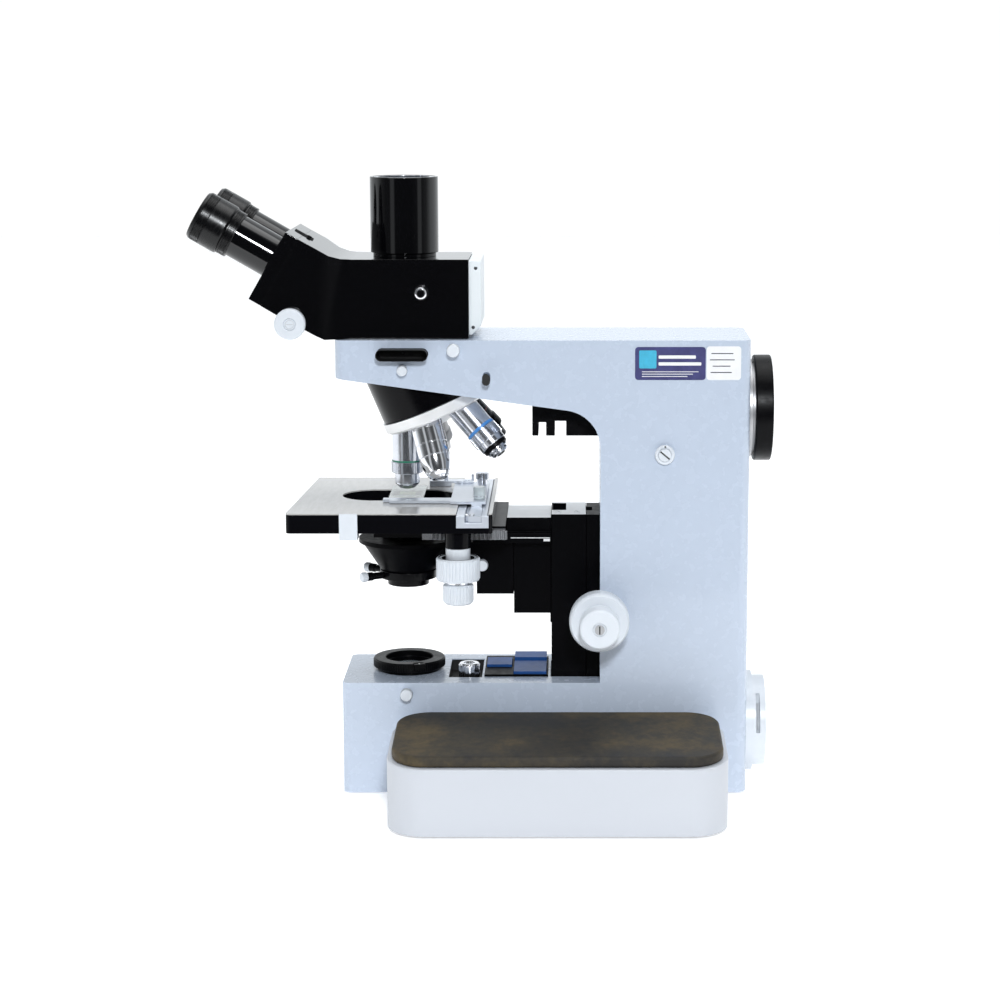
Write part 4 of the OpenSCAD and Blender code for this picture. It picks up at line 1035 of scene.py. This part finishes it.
def area_light(name, at, target, size, power, colour=(1.0, 1.0, 1.0)):
    data = bpy.data.lights.new(name, "AREA")
    data.shape, data.size, data.energy = "DISK", size, power
    data.color = colour
    obj = bpy.data.objects.new(name, data)
    bpy.context.scene.collection.objects.link(obj)
    obj.matrix_world = aimed(Vector(at), Vector(at) - Vector(target))
    return obj


SKY = (
    (-180, 1.10), (-100, 1.05), (-76, 0.22), (-62, 0.10), (-46, 0.10), (-42, 0.62), (-32, 0.62),
    (-28, 0.06), (0, 0.05), (30, 0.05),
    (48, 0.10), (52, 0.62), (62, 0.62), (66, 0.12), (84, 0.25), (104, 1.05), (180, 1.10),
)


def make_world():
    """White where the camera looks; for the light a bright far side and two bright strips beside the camera."""
    world = bpy.data.worlds.new("World")
    bpy.context.scene.world = world
    world.use_nodes = True
    tree = world.node_tree
    tree.nodes.clear()
    out = tree.nodes.new("ShaderNodeOutputWorld")
    coord = tree.nodes.new("ShaderNodeTexCoord")
    split = tree.nodes.new("ShaderNodeSeparateXYZ")
    turn = tree.nodes.new("ShaderNodeMath")
    turn.operation = "ARCTAN2"
    share = tree.nodes.new("ShaderNodeMapRange")
    share.inputs["From Min"].default_value = -math.pi
    share.inputs["From Max"].default_value = math.pi
    ramp = tree.nodes.new("ShaderNodeValToRGB")
    elements = ramp.color_ramp.elements
    while len(elements) < len(SKY):
        elements.new(0.5)
    for element, (angle, value) in zip(elements, SKY):
        element.position = (angle + 180) / 360
        element.color = (value * 0.93, value * 0.97, value, 1)
    lit, white, mix = (tree.nodes.new(k) for k in ("ShaderNodeBackground", "ShaderNodeBackground",
                                                   "ShaderNodeMixShader"))
    white.inputs["Color"].default_value = (1, 1, 1, 1)
    white.inputs["Strength"].default_value = 1.02
    path = tree.nodes.new("ShaderNodeLightPath")
    tree.links.new(coord.outputs["Generated"], split.inputs["Vector"])
    tree.links.new(split.outputs["Y"], turn.inputs[0])
    tree.links.new(split.outputs["X"], turn.inputs[1])
    tree.links.new(turn.outputs[0], share.inputs["Value"])
    tree.links.new(share.outputs["Result"], ramp.inputs["Fac"])
    tree.links.new(ramp.outputs["Color"], lit.inputs["Color"])
    tree.links.new(path.outputs["Is Camera Ray"], mix.inputs["Fac"])
    tree.links.new(lit.outputs["Background"], mix.inputs[1])
    tree.links.new(white.outputs["Background"], mix.inputs[2])
    tree.links.new(mix.outputs["Shader"], out.inputs["Surface"])


def make_floor():
    mesh = bpy.data.meshes.new("floor")
    mesh.from_pydata([(-6, -4, 0), (0.75, -4, 0), (0.75, 4, 0), (-6, 4, 0)], [], [(0, 1, 2, 3)])
    obj = bpy.data.objects.new("floor", mesh)
    bpy.context.scene.collection.objects.link(obj)
    n = Nodes("floor_white")
    n.set(Base_Color=n.ramp(n.noise(2.0), [(0.3, (0.93, 0.93, 0.93)), (0.7, (0.96, 0.96, 0.96))]),
          Roughness=0.7)
    n.set(Emission_Color=(1.0, 1.0, 1.0), Emission_Strength=0.42)
    mesh.materials.append(n.mat)


def make_camera():
    data = bpy.data.cameras.new("camera")
    data.lens, data.sensor_width = 87.84, 36
    data.shift_x = -0.07
    obj = bpy.data.objects.new("camera", data)
    bpy.context.scene.collection.objects.link(obj)
    obj.location = place(1803, 121.85, 536.96)
    pitch = math.radians(10.1)
    back = Vector((math.cos(pitch), 0, math.sin(pitch)))
    obj.rotation_mode = "QUATERNION"
    obj.rotation_quaternion = back.to_track_quat("Z", "Y")
    bpy.context.scene.camera = obj


def make_set():
    make_world()
    make_floor()
    make_camera()
    target = (0, 0, 0.2)
    area_light("key", (2.42, 0.22, 1.35), target, 0.34, 45, (0.93, 0.965, 1.0))
    area_light("top", (-0.1, 0, 2.3), target, 2.0, 26)
    bpy.context.scene.view_settings.view_transform = "Standard"


make_materials()
finish_kept_nodes()
build_head()
build_nosepiece()
build_stand()
build_base()
build_stage()
make_set()
